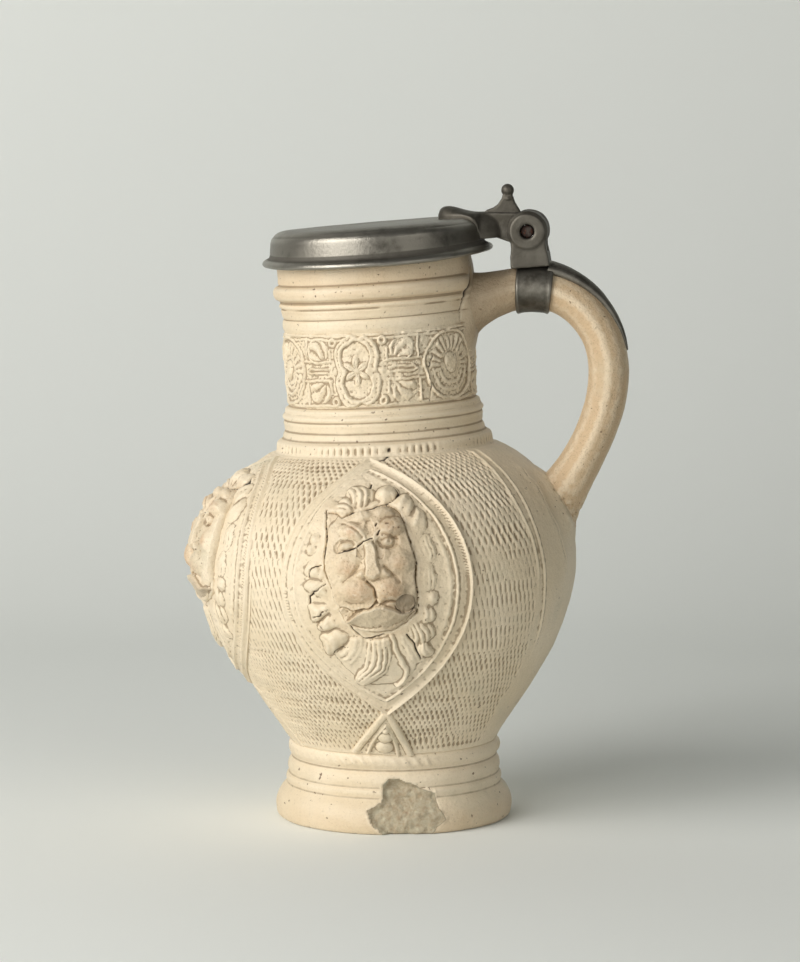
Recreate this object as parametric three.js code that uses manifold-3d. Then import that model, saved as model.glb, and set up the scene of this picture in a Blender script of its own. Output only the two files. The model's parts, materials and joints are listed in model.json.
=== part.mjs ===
// A salt-glazed stoneware jug with three moulded lion masks, a moulded neck band and a hinged pewter lid.
// Millimetres, +Z up. The origin is the centre of the foot's flat underside, and the handle points to +X.
// The pot is turned about +Z and then sags a little away from its handle, as it did in the kiln.
import * as THREE from "three";
import { mergeVertices } from "three/addons/utils/BufferGeometryUtils.js";
import Module from "manifold-3d";

const wasm = await Module();
wasm.setup();

// Driving sizes of the turned pot.
const footRadius = 45;
const footHeight = 14;
const waistRadius = 39.2;
const waistZ = 29.6;
const bellyRadius = 70.5;
const bellyZ = 98;
const shoulderRadius = 41.5;
const shoulderZ = 141;
const neckRadius = 35.6;
const rimRadius = 36.8;
const wall = 4.4;
const floorThickness = 8;
const sagBend = 0.000176; // the centre line leaves the vertical by sagBend * z squared
const flakeAzimuth = -77.5; // degrees, of the flake broken out of the foot
const flakeHalfWidth = 15;
const flakeHalfHeight = 11;

// Mouldings of the neck, stacked from the shoulder up to the rim.
const cordonHeight = 4.5;
const collarHeight = 13;
const friezeHeight = 28;
const ringGap = 12.2; // from the frieze's top to the big ring
const ringHeight = 4.8;
const ringProud = 2.4;
const lipHeight = 19;
const friezeBottomZ = shoulderZ + cordonHeight + collarHeight;
const ringBottomZ = friezeBottomZ + friezeHeight + ringGap;
const rimZ = ringBottomZ + ringHeight + lipHeight;

// Clearances between separate pieces.
const clearance = 0.35;
const hingeClearance = 0.3; // beside and under the knuckle
const boreClearance = 0.1; // round the pin

// Sprigs: reliefs pressed in moulds and stuck to the pot.
const plateThickness = 1.6;
const medallionHalfWidth = 36.7;
const medallionHalfHeight = 54.7;
const medallionCentre = 75.1; // along the wall above the waist
const medallionPlaces = {
  right: { azimuth: -88.9, raise: 0 }, // degrees, and millimetres above the centre's own height
  front: { azimuth: -160, raise: 6 },
  left: { azimuth: 120, raise: 2 },
};
const medallionPoint = 1.1; // the power that draws the almond to its points
const faceHalfWidth = 16.8;
const faceHalfHeight = 22.4;
const faceCentre = 81.6;
const faceHeight = 8.4; // of the nose above the bare wall, with the plate
const maneLocks = 14;
const maneHeight = 3.4; // of its highest locks over the plate, above the face
const beardHeight = 2.9;
const beardStrands = 7;
const sprigHalfWidth = 12;
const sprigHeight = 19.4;
const ribHeight = 0.6; // of the four ribs beside the plain field by the handle
const ribHalfWidth = 0.9;
const ribAzimuths = [31, 34.5, -31, -34.5]; // degrees
const friezeThickness = 1.1;
const friezeRelief = 0.8;
const friezeRepeats = 3;

// The handle.
const handleReach = 81.5; // of its centre line from the foot's axis
const handleRootDrop = 28.5; // of its root's middle below the rim
const handleRootZ = rimZ - handleRootDrop;
const handleEndRise = 12; // of its lower end above the belly's widest ring
const handleEndZ = bellyZ + handleEndRise;
const handleHalfThickness = 7.5;
const handleHalfWidth = 9.6;
const rootFlare = 9.5;

// The pewter mount. Its heights and reaches are taken from the pin's axis.
const lidShift = 1.8; // the lid lies off the mouth's centre, towards the hinge
const lidDepth = 9.75; // of the flange's underside below the rim
const lidThickness = 2.2;
const lidWall = 1.9;
const lidDroop = 2.3; // the flange is bent down on the side that faces -Y
const flangeProud = 2.9;
const pinReach = 59.25; // from the mouth's axis
const pinDrop = 4.45; // below the rim
const pinRadius = 2.5;
const pinRecess = 1.5;
const knuckleRadius = 7.7;
const tangHalfWidth = 3.6;
const cheekThickness = 6;
const blockHalfLength = 7.2;
const seatDrop = 14.1; // of the handle's crown below the pin
const bandLength = 13.8;
const bandThickness = 1.7;
const leafHalfWidth = 9;
const leafReach = 33.5; // of the leaf's tip from the pin
const leafProud = 1.4; // over the lid at its middle
const bumpProud = 4.5; // over the lid at its tip
const thumbReach = 6.7;
const thumbHeight = 15.8; // of the ball's centre above the pin
const thumbBallRadius = 2.55;
const thumbThickness = 5;
const tailThickness = 4.4;
const tailHalfWidth = 5.5;
const tailShare = 0.33; // of the outer handle that the tail covers

const turnSegments = 36;

const clay = new THREE.MeshStandardMaterial({ color: 0xe6dab9, roughness: 0.55, metalness: 0 });
const handleClay = new THREE.MeshStandardMaterial({ color: 0xd9bf9a, roughness: 0.6, metalness: 0 });
const pewter = new THREE.MeshStandardMaterial({ color: 0x5a564e, roughness: 0.4, metalness: 0.85 });
const rustyIron = new THREE.MeshStandardMaterial({ color: 0x5b4236, roughness: 0.8, metalness: 0.4 });

// A closed geometry as a solid that can be joined and cut.
function solidOf(geometry) {
  const bare = geometry.index ? geometry.toNonIndexed() : geometry.clone();
  bare.deleteAttribute("normal");
  bare.deleteAttribute("uv");
  const merged = mergeVertices(bare, 1e-3);
  return new wasm.Manifold(
    new wasm.Mesh({
      numProp: 3,
      vertProperties: merged.attributes.position.array,
      triVerts: new Uint32Array(merged.index.array),
    }),
  );
}

// A solid as a geometry.
function geometryOf(solid) {
  const mesh = solid.getMesh();
  const geometry = new THREE.BufferGeometry();
  geometry.setAttribute("position", new THREE.BufferAttribute(mesh.vertProperties, 3));
  geometry.setIndex(new THREE.BufferAttribute(mesh.triVerts, 1));
  geometry.computeVertexNormals();
  return geometry;
}

// Moves every vertex of a geometry by a function of its place.
function reshape(geometry, move) {
  const place = geometry.attributes.position;
  const point = new THREE.Vector3();
  for (let i = 0; i < place.count; i += 1) {
    point.fromBufferAttribute(place, i);
    const moved = move(point);
    place.setXYZ(i, moved.x, moved.y, moved.z);
  }
  return geometry;
}

// The kiln's sag: the level circle at each height moves and tips with the bent centre line.
function sagAngle(z) {
  return Math.atan(2 * sagBend * z);
}

function sag(point) {
  const tip = sagAngle(point.z);
  return new THREE.Vector3(
    point.x * Math.cos(tip) - sagBend * point.z * point.z,
    point.y,
    point.z + point.x * Math.sin(tip),
  );
}

// A profile of (radius, height) points turned about +Z, with its faces pointing out.
function turned(points, segments = turnSegments) {
  return new THREE.LatheGeometry(points, segments).rotateX(Math.PI / 2);
}

const at = (radius, height) => new THREE.Vector2(radius, height);

// The wall from the waist to the shoulder, as one outline.
const bellyOutline = new THREE.CurvePath();
bellyOutline.add(
  new THREE.CubicBezierCurve(
    at(waistRadius, waistZ),
    at(waistRadius + 0.37 * (bellyRadius - waistRadius), waistZ + 0.2 * (bellyZ - waistZ)),
    at(bellyRadius, bellyZ - 0.47 * (bellyZ - waistZ)),
    at(bellyRadius, bellyZ),
  ),
);
bellyOutline.add(
  new THREE.CubicBezierCurve(
    at(bellyRadius, bellyZ),
    at(bellyRadius, bellyZ + 0.51 * (shoulderZ - bellyZ)),
    at(bellyRadius - 0.5 * (bellyRadius - shoulderRadius), shoulderZ - 0.16 * (shoulderZ - bellyZ)),
    at(shoulderRadius, shoulderZ),
  ),
);
const bellyLength = bellyOutline.getLength();

// A point over the belly wall: azimuth, way along the wall from the waist, and height over the wall.
function overBelly(azimuth, along, height) {
  const share = THREE.MathUtils.clamp(along / bellyLength, 0, 1);
  const foot = bellyOutline.getPointAt(share);
  const slope = bellyOutline.getTangentAt(share);
  const radius = foot.x + height * slope.y;
  const z = foot.y - height * slope.x;
  return sag(new THREE.Vector3(radius * Math.cos(azimuth), radius * Math.sin(azimuth), z));
}

const radiusAlong = (along) => bellyOutline.getPointAt(THREE.MathUtils.clamp(along / bellyLength, 0, 1)).x;

// The outer outline, from the underside's edge to the lip. Each moulding takes its place from the driving sizes.
function outerOutline() {
  const friezeTopZ = friezeBottomZ + friezeHeight;
  const ringTopZ = ringBottomZ + ringHeight;
  const ringRadius = rimRadius - 0.6 + ringProud;
  const foot = [
    at(footRadius - 1.4, 0),
    at(footRadius - 0.3, 1.6),
    at(footRadius, 0.38 * footHeight),
    at(footRadius - 1.6, 0.76 * footHeight),
    at(waistRadius + 1.6, footHeight),
    at(waistRadius + 0.6, footHeight + 2),
    at(waistRadius + 1, footHeight + 4),
    at(waistRadius - 0.4, footHeight + 7),
    at(waistRadius - 0.2, footHeight + 9.5),
    at(waistRadius + 0.4, footHeight + 11.5),
    at(waistRadius + 0.5, waistZ - 1.2),
  ];
  const belly = bellyOutline.getSpacedPoints(14);
  const neck = [
    at(shoulderRadius - 0.7, shoulderZ + 0.6),
    at(shoulderRadius - 1.2, shoulderZ + cordonHeight),
    at(neckRadius + 2.8, shoulderZ + cordonHeight + 1),
    at(neckRadius + 2.4, 0.5 * (shoulderZ + cordonHeight + friezeBottomZ) + 1),
    at(neckRadius + 2.9, 0.5 * (shoulderZ + cordonHeight + friezeBottomZ) + 3),
    at(neckRadius + 1.9, friezeBottomZ - 2.6),
    at(neckRadius + 1.9, friezeBottomZ - 0.8),
    at(neckRadius, friezeBottomZ - 0.4),
    at(neckRadius, friezeTopZ + 0.4),
    at(neckRadius + 0.8, friezeTopZ + 1),
    at(neckRadius + 0.6, friezeTopZ + 6),
    at(neckRadius + 1.4, ringBottomZ - 2),
    at(neckRadius + 1.2, ringBottomZ),
    at(ringRadius - 0.5, ringBottomZ + 0.2 * ringHeight),
    at(ringRadius, ringBottomZ + 0.5 * ringHeight),
    at(ringRadius - 0.5, ringTopZ - 0.2 * ringHeight),
    at(rimRadius + 0.5, ringTopZ),
    at(rimRadius, ringTopZ + 1.4),
    at(rimRadius, rimZ - 1.6),
    at(rimRadius - 1.2, rimZ),
  ];
  return [...foot, ...belly, ...neck];
}

// The cavity's outline, from the lip down to the floor.
function innerOutline() {
  const belly = bellyOutline.getSpacedPoints(7).reverse();
  const hollow = belly.map((p) => at(p.x - wall, p.y));
  return [
    at(rimRadius - wall + 0.8, rimZ),
    at(neckRadius - wall + 0.6, rimZ - 3),
    at(neckRadius - wall, friezeBottomZ),
    ...hollow,
    at(0.62 * waistRadius, floorThickness + 3),
    at(0.4 * waistRadius, floorThickness),
  ];
}

// The outline pushed out by an allowance, for cutting the pieces that sit against the pot.
function grown(outline, allowance) {
  return outline.map((p, i) => {
    const before = outline[Math.max(i - 1, 0)];
    const after = outline[Math.min(i + 1, outline.length - 1)];
    const way = at(after.x - before.x, after.y - before.y).normalize();
    return at(p.x + allowance * way.y, p.y - allowance * way.x);
  });
}

const potPlug = solidOf(
  reshape(
    turned([
      at(0, -1),
      ...grown(outerOutline(), clearance),
      at(0, rimZ + 1),
    ]),
    sag,
  ),
);

// The flake broken out of the foot, low on the side that faces -Y.
function footFlake() {
  const flake = new THREE.IcosahedronGeometry(1, 1).scale(5.2, flakeHalfWidth, flakeHalfHeight);
  flake.translate(footRadius + 1.8, 0, 0.4 * footHeight);
  return flake.rotateZ(THREE.MathUtils.degToRad(flakeAzimuth));
}

// A low rib that runs down the belly from the shoulder.
function rib(azimuth) {
  const half = 0.3 * bellyLength;
  const top = (across, up, u) => (Math.abs(u) > 0.5 ? -1 : ribHeight);
  return patch(2, 8, azimuth, 0.66 * bellyLength, half, () => ribHalfWidth, () => -2, top);
}

function makeVessel() {
  const profile = [at(0, 0), ...outerOutline(), ...innerOutline(), at(0, floorThickness)];
  const pot = solidOf(reshape(turned(profile), sag));
  const ribs = ribAzimuths.map((azimuth) => solidOf(rib(THREE.MathUtils.degToRad(azimuth))));
  return geometryOf(ribs.reduce((whole, one) => whole.add(one), pot).subtract(solidOf(footFlake())));
}

// The moulded band round the neck. Its outer face carries shallow ovals and crossed cartouches in turn.
function friezeHeightAt(azimuth, share) {
  const repeat = (2 * Math.PI) / friezeRepeats;
  const phase = THREE.MathUtils.euclideanModulo(azimuth, repeat) / repeat;
  const level = Math.sin(Math.PI * share);
  const oval = Math.exp(-(((phase - 0.25) / 0.1) ** 2)) * level;
  const cartouche = Math.exp(-(((phase - 0.75) / 0.07) ** 2)) * (0.5 + 0.5 * Math.cos(4 * Math.PI * (share - 0.25)));
  return friezeRelief * Math.min(1, oval + cartouche);
}

function friezeRing() {
  const inside = neckRadius + clearance;
  const outside = inside + friezeThickness;
  const rows = 6;
  const outline = [at(inside, friezeBottomZ)];
  for (let i = 0; i <= rows; i += 1) {
    outline.push(at(outside, friezeBottomZ + (friezeHeight * i) / rows));
  }
  outline.push(at(inside, friezeBottomZ + friezeHeight), at(inside, friezeBottomZ));
  return reshape(turned(outline, 60), (point) => {
    const radius = Math.hypot(point.x, point.y);
    const azimuth = Math.atan2(point.y, point.x);
    const share = (point.z - friezeBottomZ) / friezeHeight;
    const rise = radius > 0.5 * (inside + outside) ? friezeHeightAt(azimuth, share) : 0;
    const swell = 1 + rise / radius;
    return sag(new THREE.Vector3(point.x * swell, point.y * swell, point.z));
  });
}

// A patch of clay over the belly: a slab whose outline and thickness come from functions of its own u and v.
// It ends at the shoulder, where the neck's mouldings begin.
function patch(columns, rows, azimuth, centre, halfHeight, halfWidthAt, bottomAt, topAt) {
  const upper = Math.min(halfHeight, bellyLength - 0.8 - centre);
  return reshape(new THREE.BoxGeometry(2, 2, 2, columns, rows, 1), (point) => {
    const along = centre + (point.y > 0 ? upper : halfHeight) * point.y;
    const across = halfWidthAt(point.y) * point.x;
    const height = point.z < 0 ? bottomAt(across, halfHeight * point.y) : topAt(across, halfHeight * point.y, point.x);
    return overBelly(azimuth + across / radiusAlong(along), along, height);
  });
}

const hill = (x, y, x0, y0, rx, ry) => Math.exp(-(((x - x0) / rx) ** 2) - (((y - y0) / ry) ** 2));

const faceHalfWidthAt = (v) => faceHalfWidth * (1 - 0.42 * Math.abs(v) ** 3);

// The room that a face takes over its plate, with the clearance on every side.
function facePlug({ azimuth, raise }) {
  const halfWidth = (v) => faceHalfWidthAt(v) + clearance;
  const low = clearance + plateThickness;
  const half = faceHalfHeight + clearance;
  return solidOf(patch(8, 8, azimuth, faceCentre + raise, half, halfWidth, () => low, () => low + 9));
}

// The almond plate, with its two ridges and the mane and beard round the face.
function makeMedallion({ azimuth, raise }) {
  const halfWidth = (v) => 0.8 + (medallionHalfWidth - 0.8) * Math.max(0, 1 - v * v) ** medallionPoint;
  const faceDrop = faceCentre - medallionCentre;
  const top = (x, y, u) => {
    const ridge = Math.abs(u) > 0.95 || Math.abs(Math.abs(u) - 0.78) < 0.04 ? 0.9 : 0;
    const fromFace = Math.hypot(x / faceHalfWidth, (y - faceDrop) / faceHalfHeight);
    const turn = Math.atan2(y - faceDrop, x);
    const lobes = 0.7 + 0.3 * Math.cos(maneLocks * turn);
    const mane = maneHeight * (0.84 + 0.16 * Math.sin(turn)) * lobes * Math.exp(-(((fromFace - 1.24) / 0.24) ** 2));
    const strands = 0.8 + 0.2 * Math.cos((beardStrands * Math.PI * x) / 12);
    const beard = beardHeight * strands * hill(x, y, 0, faceDrop - 32, 13, 11);
    return clearance + plateThickness + Math.max(ridge, mane, beard);
  };
  const centre = medallionCentre + raise;
  const plate = patch(18, 24, azimuth, centre, medallionHalfHeight, halfWidth, () => clearance, top);
  return geometryOf(solidOf(plate).subtract(facePlug({ azimuth, raise })));
}

// The lion's face: brows, sunk eyes, nose, cheeks, the split muzzle and the lower lip.
function makeMask({ azimuth, raise }) {
  const seat = 2 * clearance + plateThickness;
  const top = (x, y) => {
    const dome = Math.sqrt(Math.max(0, 1 - (x / faceHalfWidth) ** 2) * Math.max(0, 1 - (y / faceHalfHeight) ** 4));
    const brow = 0.25 * (hill(x, y, -6, 13, 5, 3.4) + hill(x, y, 7, 13, 5, 3.4));
    const eyes = 0.24 * (hill(x, y, -8.5, 8, 3.6, 2.6) + hill(x, y, 6.5, 8.6, 3.6, 2.6));
    const cheeks = 0.16 * (hill(x, y, -9, 2.4, 4, 3.6) + hill(x, y, 9.4, 2, 4, 3.6));
    const nose = 0.4 * hill(x, y, 0, 1.4, 2.8, 7.5);
    const muzzle = 0.4 * (hill(x, y, -6.2, -6.8, 5.2, 4.2) + hill(x, y, 6, -6.8, 5.2, 4.2));
    const mouth = 0.3 * hill(x, y, 0, -12, 9, 1.8);
    const lip = 0.28 * hill(x, y, 1, -16.4, 9.5, 3);
    const share = 0.5 * dome + brow - eyes + cheeks + nose + muzzle - mouth + lip;
    return seat + 0.8 + (faceHeight - seat) * Math.max(0, share);
  };
  return patch(12, 18, azimuth, faceCentre + raise, faceHalfHeight, faceHalfWidthAt, () => seat, top);
}

// The small triangular sprig under each medallion: two slanting straps and two berries.
function makeSprig({ azimuth, raise }) {
  const half = 0.5 * (sprigHeight + raise);
  const lowest = medallionCentre + raise - medallionHalfHeight - clearance - half;
  const halfWidth = (v) => 0.5 * (1 - v) * sprigHalfWidth + 0.5 * (1 + v) * 1.6;
  const top = (x, y, u) => {
    const strap = Math.abs(u) > 0.55 ? 0.9 : 0;
    const berries = 1.4 * (hill(x, y, 0, -5.5, 2.2, 2) + hill(x, y, 0, -1, 2, 2));
    return clearance + 0.8 + Math.max(strap, berries);
  };
  return patch(6, 7, azimuth, lowest, half, halfWidth, () => clearance, top);
}

// The rim's own frame: origin at the mouth's centre, tipped with the sag. The lid and its hinge are laid out in it.
const mouth = sag(new THREE.Vector3(0, 0, rimZ));
const mouthTip = sagAngle(rimZ);

const mouthFrame = new THREE.Matrix4()
  .makeRotationY(-mouthTip)
  .setPosition(mouth.x, mouth.y, mouth.z);
const pinCentre = new THREE.Vector3(pinReach, 0, -pinDrop).applyMatrix4(mouthFrame);

// The handle's centre line, from the neck over the band's seat to the belly.
const bandSeatZ = pinCentre.z - seatDrop;
const handleTopZ = bandSeatZ - handleHalfThickness;
const handleTopX = pinCentre.x + 2;
const handleSideZ = handleEndZ + 0.66 * (handleTopZ - handleEndZ);
const handleEndX = bellyRadius - 15; // inside the belly's wall
const onPlane = (x, z) => new THREE.Vector3(x, 0, z);

const handleLine = new THREE.CurvePath();
handleLine.add(
  new THREE.CubicBezierCurve3(
    onPlane(neckRadius - 9.6, handleRootZ),
    onPlane(neckRadius, handleRootZ + 0.5 * (handleTopZ - handleRootZ)),
    onPlane(handleTopX - 9, handleTopZ),
    onPlane(handleTopX, handleTopZ),
  ),
);
handleLine.add(
  new THREE.CubicBezierCurve3(
    onPlane(handleTopX, handleTopZ),
    onPlane(handleTopX + 0.55 * (handleReach - handleTopX), handleTopZ),
    onPlane(handleReach, handleSideZ + 0.55 * (handleTopZ - handleSideZ)),
    onPlane(handleReach, handleSideZ),
  ),
);
handleLine.add(
  new THREE.CubicBezierCurve3(
    onPlane(handleReach, handleSideZ),
    onPlane(handleReach, handleSideZ - 0.3 * (handleSideZ - handleEndZ)),
    onPlane(handleReach - 0.36 * (handleReach - handleEndX), handleSideZ - 0.57 * (handleSideZ - handleEndZ)),
    onPlane(handleEndX, handleEndZ),
  ),
);
const handleLength = handleLine.getLength();
const lineLengths = handleLine.getCurveLengths();
const bandMiddle = lineLengths[0] + 0.5;
const rootLength = 4.5; // the stretch that lies inside the neck's wall

// Half the thickness of the handle at a distance along its line: it spreads where it joins the pot.
function handleHalf(distance) {
  const root = rootFlare * Math.exp(-Math.max(0, distance - rootLength) / 4.6);
  const end = 3.6 * Math.exp(-Math.max(0, handleLength - 8 - distance) / 9);
  return handleHalfThickness + root + end;
}

// A point on or over the handle: distance along, turn round the section from its outer crown, and height.
function overHandle(distance, turn, height) {
  const share = THREE.MathUtils.clamp(distance / handleLength, 0, 1);
  const middle = handleLine.getPointAt(share);
  const way = handleLine.getTangentAt(share);
  const outward = (handleHalf(distance) + height) * Math.cos(turn);
  const sideways = (handleHalfWidth + height) * Math.sin(turn);
  return new THREE.Vector3(middle.x - way.z * outward, sideways, middle.z + way.x * outward);
}

// A closed bar that follows the handle between two distances, grown by a height.
function handleBar(from, to, height, steps, sides = 16) {
  return reshape(new THREE.CylinderGeometry(1, 1, 1, sides, steps), (point) => {
    const distance = from + (to - from) * (point.y + 0.5) ** 1.4;
    const turn = Math.atan2(point.z, point.x);
    const rim = Math.hypot(point.x, point.z);
    const surface = overHandle(distance, turn, height);
    const centre = handleLine.getPointAt(THREE.MathUtils.clamp(distance / handleLength, 0, 1));
    return centre.lerp(surface, rim);
  });
}

function makeHandle() {
  return geometryOf(solidOf(handleBar(0, handleLength, 0, 26)).subtract(potPlug));
}

// The band stops where the handle's root covers the neck.
function makeFrieze() {
  return geometryOf(solidOf(friezeRing()).subtract(solidOf(handleBar(0, handleLength, clearance, 26))));
}

// The strap round the handle under the hinge.
function makeBand() {
  const from = bandMiddle - 0.5 * bandLength;
  const to = bandMiddle + 0.5 * bandLength;
  const outer = solidOf(handleBar(from, to, clearance + bandThickness, 3, 20));
  const inner = solidOf(handleBar(from - 3, to + 3, clearance, 5, 20));
  return geometryOf(outer.subtract(inner));
}

// The long pewter tongue down the handle's back, curved across with it and thinning to its point.
function makeTail() {
  const from = bandMiddle + 0.5 * bandLength + clearance;
  const length = tailShare * (handleLength - from);
  return reshape(new THREE.BoxGeometry(2, 2, 1, 4, 1, 12), (point) => {
    const share = 0.5 + point.z;
    const half = tailHalfWidth * (1 - share ** 1.6) + 0.8 * share;
    const thickness = tailThickness * (1 - 0.82 * share);
    const turn = Math.asin((half * point.x) / handleHalfWidth);
    return overHandle(from + length * share, turn, clearance + (point.y > 0 ? thickness : 0));
  });
}

// A side profile drawn in the hinge's X and Z, spread to both sides of the middle plane.
function slab(shape, halfWidth) {
  const extruded = new THREE.ExtrudeGeometry(shape, { depth: 2 * halfWidth, bevelEnabled: false, curveSegments: 10 });
  return extruded.translate(0, 0, -halfWidth).rotateX(Math.PI / 2);
}

function cylinderAcross(radius, halfLength, sides = 24) {
  return new THREE.CylinderGeometry(radius, radius, 2 * halfLength, sides);
}

const hingeHalfWidth = tangHalfWidth + hingeClearance + cheekThickness;
const blockFootZ = bandThickness - seatDrop;
const slotFloorZ = -knuckleRadius - hingeClearance;

// The fixed half of the hinge: a saddle on the strap, with two round cheeks that hold the pin.
function makeBlock() {
  const foot = new THREE.Shape();
  foot.moveTo(-blockHalfLength, blockFootZ);
  foot.lineTo(blockHalfLength, blockFootZ);
  foot.lineTo(blockHalfLength, -0.25 * knuckleRadius);
  foot.lineTo(-blockHalfLength, -0.25 * knuckleRadius);
  const bore = solidOf(cylinderAcross(pinRadius + boreClearance, hingeHalfWidth + 1));
  const slot = new THREE.BoxGeometry(40, 2 * (tangHalfWidth + hingeClearance), 40).translate(0, 0, 20 + slotFloorZ);
  const half = 0.5 * bandLength + 4;
  const strap = handleBar(bandMiddle - half, bandMiddle + half, 2 * clearance + bandThickness, 5, 20);
  const saddle = strap.translate(-pinCentre.x, 0, -pinCentre.z).rotateY(mouthTip);
  return geometryOf(
    solidOf(slab(foot, hingeHalfWidth))
      .add(solidOf(cylinderAcross(knuckleRadius, hingeHalfWidth, 28)))
      .subtract(solidOf(slot))
      .subtract(bore)
      .subtract(solidOf(saddle)),
  );
}

// The lid's outline, from its underside's middle to the flange and back over the top, in the rim's frame.
const lidBore = rimRadius + lidShift + clearance;
const lidSide = lidBore + lidWall;
const lidTop = clearance + lidThickness;

function lidOutline() {
  return [
    at(0, clearance + 0.3),
    at(0.9 * lidBore, clearance),
    at(lidBore - 1.2, clearance),
    at(lidBore, clearance - 1.2),
    at(lidBore + 0.3, 1 - lidDepth),
    at(lidSide + 0.9, -lidDepth),
    at(lidSide + flangeProud - 0.2, 0.4 - lidDepth),
    at(lidSide + flangeProud, 1 - lidDepth),
    at(lidSide + flangeProud - 0.6, 1.9 - lidDepth),
    at(lidSide + 0.7, 2.6 - lidDepth),
    at(lidSide, 3.4 - lidDepth),
    at(lidSide - 0.6, lidTop - 3.6),
    at(lidSide - 1.1, lidTop - 3.1),
    at(lidSide - 2, lidTop - 1.6),
    at(lidSide - 3.6, lidTop - 0.5),
    at(lidSide - 6.5, lidTop),
    at(0, lidTop),
  ];
}

// The bend of the lid's lower edge, on the side that faces -Y.
function droop(point) {
  const low = THREE.MathUtils.smoothstep(lidTop - point.z, 2.5, lidTop + lidDepth);
  const near = 0.5 - (0.5 * point.y) / Math.max(1, Math.hypot(point.x, point.y));
  return new THREE.Vector3(point.x, point.y, point.z - lidDroop * low * near * near);
}

const makeLid = () => reshape(turned(lidOutline()), droop);

const lidCentreX = lidShift - pinReach; // from the pin
const lidTopZ = pinDrop + lidTop; // over the pin
const lidEdgeX = lidCentreX + lidSide;

// The lid filled in and grown, in the hinge's frame, for fitting the tang to it.
function lidPlug() {
  const skin = grown(lidOutline().slice(5), clearance);
  const plug = reshape(turned([at(0, skin[0].y - 1), at(skin[0].x, skin[0].y - 1), ...skin]), droop);
  return solidOf(plug.translate(lidCentreX, 0, pinDrop));
}

// The side of the tang from a given depth up: the web, then the leaf that runs over the lid's edge to a knob.
function tangSide(bottom) {
  const side = new THREE.Shape();
  side.moveTo(-3, bottom - 4);
  side.quadraticCurveTo(-8.5, bottom - 1.4, -12, bottom);
  side.lineTo(lidEdgeX - 3, bottom);
  side.lineTo(-leafReach, lidTopZ - 2);
  side.lineTo(-leafReach, lidTopZ + 0.9);
  side.quadraticCurveTo(2.1 - leafReach, lidTopZ + bumpProud, 4.2 - leafReach, lidTopZ + bumpProud);
  side.quadraticCurveTo(-25, lidTopZ + 2.6, -17.5, lidTopZ + leafProud);
  side.quadraticCurveTo(-9, lidTopZ + leafProud, -2, 0.9 * knuckleRadius);
  return side;
}

// The tang from above: narrow at the knuckle, with a leaf's rounded outline on the lid.
function tangPlan() {
  const plan = new THREE.Shape();
  plan.moveTo(2, -tangHalfWidth);
  plan.lineTo(lidEdgeX + 6, -tangHalfWidth);
  plan.quadraticCurveTo(lidEdgeX + 2, -leafHalfWidth, lidEdgeX - 3, -leafHalfWidth);
  plan.quadraticCurveTo(2 - leafReach, -0.75 * leafHalfWidth, -leafReach, 0);
  plan.quadraticCurveTo(2 - leafReach, 0.75 * leafHalfWidth, lidEdgeX - 3, leafHalfWidth);
  plan.quadraticCurveTo(lidEdgeX + 2, leafHalfWidth, lidEdgeX + 6, tangHalfWidth);
  plan.lineTo(2, tangHalfWidth);
  return plan;
}

// The lid's half of the hinge: the middle knuckle with its web and leaf.
function makeTang() {
  const plan = new THREE.ExtrudeGeometry(tangPlan(), { depth: 40, bevelEnabled: false, curveSegments: 8 });
  const bore = cylinderAcross(pinRadius + boreClearance, hingeHalfWidth);
  const whole = solidOf(slab(tangSide(lidTopZ - 3.4), leafHalfWidth))
    .intersect(solidOf(plan.translate(0, 0, -20)))
    .add(solidOf(slab(tangSide(-1.6), tangHalfWidth)))
    .add(solidOf(cylinderAcross(knuckleRadius - 0.2, tangHalfWidth, 28)))
    .subtract(solidOf(bore))
    .subtract(lidPlug());
  return geometryOf(largest(whole));
}

// The biggest of a solid's separate bodies: a cut can leave a crumb behind.
function largest(solid) {
  return solid.decompose().reduce((best, body) => (body.volume() > best.volume() ? body : best));
}

// The thumb rest: a fin on the tang that sweeps up to a ball.
function makeThumbpiece() {
  const fin = new THREE.Shape();
  fin.moveTo(-16.5, lidTopZ);
  fin.lineTo(-16.5, lidTopZ + leafProud + 0.5);
  fin.quadraticCurveTo(-thumbReach - 3.6, lidTopZ + 2.6, -thumbReach - 2, thumbHeight - 1);
  fin.lineTo(-thumbReach + 2, thumbHeight - 1);
  fin.quadraticCurveTo(-thumbReach + 2.4, 11.5, -2.6, 0.95 * knuckleRadius);
  fin.lineTo(-4.5, 0.6 * knuckleRadius);
  const ball = new THREE.SphereGeometry(thumbBallRadius, 14, 10).translate(-thumbReach, 0, thumbHeight);
  const rest = solidOf(slab(tangSide(-1.6), 20)).add(solidOf(cylinderAcross(knuckleRadius - 0.2, 20, 28)));
  const whole = solidOf(slab(fin, 0.5 * thumbThickness))
    .add(solidOf(ball))
    .subtract(rest.translate([0, 0, clearance]))
    .subtract(rest.translate([clearance, 0, 0.5 * clearance]))
    .subtract(rest.translate([-clearance, 0, 0.5 * clearance]));
  return geometryOf(largest(whole));
}

function makePin() {
  return cylinderAcross(pinRadius, hingeHalfWidth - pinRecess);
}

function piece(name, geometry, material) {
  const mesh = new THREE.Mesh(geometry, material);
  mesh.name = name;
  return mesh;
}

const jug = new THREE.Group();
jug.add(piece("vessel", makeVessel(), clay));
jug.add(piece("handle", makeHandle(), handleClay));
jug.add(piece("neck_frieze", makeFrieze(), clay));

// The three sides that carry a lion; the fourth is the handle's.
for (const [side, { azimuth, raise }] of Object.entries(medallionPlaces)) {
  const place = { azimuth: THREE.MathUtils.degToRad(azimuth), raise };
  jug.add(piece(`medallion_${side}`, makeMedallion(place), clay));
  jug.add(piece(`lion_mask_${side}`, makeMask(place), clay));
  jug.add(piece(`berry_sprig_${side}`, makeSprig(place), clay));
}

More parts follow.
